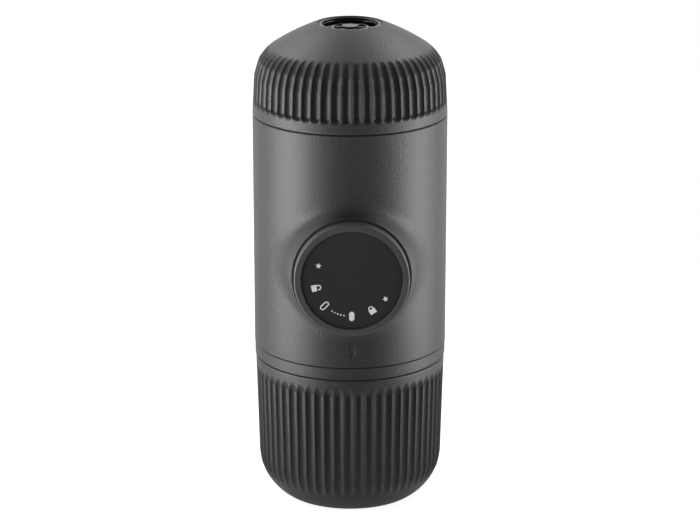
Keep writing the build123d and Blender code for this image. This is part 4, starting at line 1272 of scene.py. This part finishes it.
def on_arc(reach, angle):
    """A spot on the knob's face, in millimetres out from its centre."""
    return (reach * MM * cos(angle), reach * MM * sin(angle))


# ---- stage


class ESPRESSO_OT_stage(bpy.types.Operator):
    """Set up the floor, the lights and the camera"""

    bl_idname = "espresso.stage"
    bl_label = "Stage"

    def execute(self, context):
        scene = context.scene
        stage = scene.espresso_stage
        scene.view_settings.view_transform = "Standard"
        set_world(scene)
        half, front, back = 0.15, -0.07, 1.3
        corners = [(-half, front, 0), (half, front, 0), (half, back, 0), (-half, back, 0)]
        floor = bpy.data.meshes.new("floor")
        floor.from_pydata(corners, [], [(0, 1, 2, 3)])
        floor.materials.append(floor_material())
        ground = bpy.data.objects.new("floor", floor)
        scene.collection.objects.link(ground)
        middle = Vector((0, 0, 0.077))
        # name, place, width and height, and share of the softboxes' watts
        for name, spot, size, share in (
            ("left_softbox", (-0.43, -0.12, -0.06), (0.3, 0.7), 1),
            ("right_softbox", (0.44, -0.06, -0.06), (0.3, 0.7), 0.8),
            ("left_rim_light", (-0.38, 0.33, 0.7), (0.3, 0.3), 0.36),
            ("right_rim_light", (0.38, 0.33, 0.7), (0.3, 0.3), 0.36),
        ):
            lamp = bpy.data.lights.new(name, "AREA")
            lamp.shape, lamp.energy = "RECTANGLE", stage.softbox * share
            lamp.size, lamp.size_y = size
            light = bpy.data.objects.new(name, lamp)
            aim(light, Vector(spot), middle)
            light.visible_camera = False
            scene.collection.objects.link(light)
        lens = bpy.data.cameras.new("camera")
        lens.lens, lens.sensor_width, lens.clip_start = stage.lens, 36.0, 0.01
        camera = bpy.data.objects.new("camera", lens)
        level = stage.distance * cos(stage.elevation)
        height = stage.distance * sin(stage.elevation)
        way = (level * sin(stage.azimuth), -level * cos(stage.azimuth), height)
        aim(camera, middle + Vector(way), middle)
        scene.collection.objects.link(camera)
        scene.camera = camera
        return {"FINISHED"}


def aim(thing, spot, target):
    """Moves a lamp or camera to its spot and turns it to the target."""
    thing.location = spot
    thing.rotation_euler = (target - spot).to_track_quat("-Z", "Y").to_euler()


def set_world(scene):
    """White behind the object, soft grey light on it, and a darker room behind the camera."""
    world = bpy.data.worlds.new("Studio")
    scene.world = world
    world.use_nodes = True
    tree = world.node_tree
    dim = 0.2  # light on the object, against 1 for what the camera sees
    path = place(tree, "ShaderNodeLightPath").outputs
    way = place(tree, "ShaderNodeTexCoord").outputs["Generated"]
    forward = place(tree, "ShaderNodeSeparateXYZ", {0: way}).outputs[1]
    room = put(
        tree,
        "MapRange",
        {"Value": forward, "From Min": -0.1, "From Max": 0.7, "To Min": 0.0},
    )
    reflected = calc(tree, "MULTIPLY", path["Is Glossy Ray"], room)
    seen = calc(tree, "MAXIMUM", path["Is Camera Ray"], reflected)
    seen = calc(tree, "MAXIMUM", seen, path["Is Transmission Ray"])
    strength = seen * (1 - dim) + dim
    feed(tree, tree.nodes["Background"], {"Color": (1, 1, 1, 1), "Strength": strength})


def floor_material():
    """Pale floor, white to the camera, that keeps the object's shadow."""
    material, surface = shader("Floor")
    tree = material.node_tree
    path = place(tree, "ShaderNodeLightPath").outputs
    direct = calc(tree, "MAXIMUM", path["Is Camera Ray"], path["Is Transmission Ray"])
    mirrored = calc(tree, "MULTIPLY", path["Is Glossy Ray"], 0.25)
    look = {
        "Base Color": (0.5, 0.5, 0.5, 1),
        "Roughness": 0.9,
        "Specular IOR Level": 0.0,
        "Emission Color": (1, 1, 1, 1),
        "Emission Strength": calc(tree, "MAXIMUM", direct, mirrored) * 0.86,
    }
    feed(tree, surface, look)
    return material


# ---- panel and registration

OPERATORS = (
    ESPRESSO_OT_finishes,
    ESPRESSO_OT_cup,
    ESPRESSO_OT_head,
    ESPRESSO_OT_body,
    ESPRESSO_OT_knob,
    ESPRESSO_OT_marks,
    ESPRESSO_OT_nozzle,
    ESPRESSO_OT_brew_group,
    ESPRESSO_OT_screens,
    ESPRESSO_OT_threads,
    ESPRESSO_OT_hidden,
    ESPRESSO_OT_stage,
)
SETTINGS = (
    ("espresso_ribs", RibSettings),
    ("espresso_finish", FinishSettings),
    ("espresso_body", BodySettings),
    ("espresso_nozzle", NozzleSettings),
    ("espresso_thread", ThreadSettings),
    ("espresso_stage", StageSettings),
)


class ESPRESSO_PT_panel(bpy.types.Panel):
    """Sizes and steps of the espresso maker"""

    bl_idname = "ESPRESSO_PT_panel"
    bl_label = "Espresso Maker"
    bl_space_type = "VIEW_3D"
    bl_region_type = "UI"
    bl_category = "Espresso Maker"

    def draw(self, context):
        layout = self.layout
        for name, group in SETTINGS:
            box = layout.box()
            values = getattr(context.scene, name)
            for key in group.__annotations__:
                box.prop(values, key)
        for operator in OPERATORS:
            layout.operator(operator.bl_idname)


def register():
    for _, group in SETTINGS:
        bpy.utils.register_class(group)
    for name, group in SETTINGS:
        setattr(bpy.types.Scene, name, PointerProperty(type=group))
    for operator in OPERATORS:
        bpy.utils.register_class(operator)
    bpy.utils.register_class(ESPRESSO_PT_panel)


def unregister():
    bpy.utils.unregister_class(ESPRESSO_PT_panel)
    for operator in reversed(OPERATORS):
        bpy.utils.unregister_class(operator)
    for name, _ in SETTINGS:
        delattr(bpy.types.Scene, name)
    for _, group in reversed(SETTINGS):
        bpy.utils.unregister_class(group)


def main():
    register()
    for operator in OPERATORS:
        getattr(bpy.ops.espresso, operator.bl_idname.split(".")[1])()


if __name__ == "__main__":
    main()
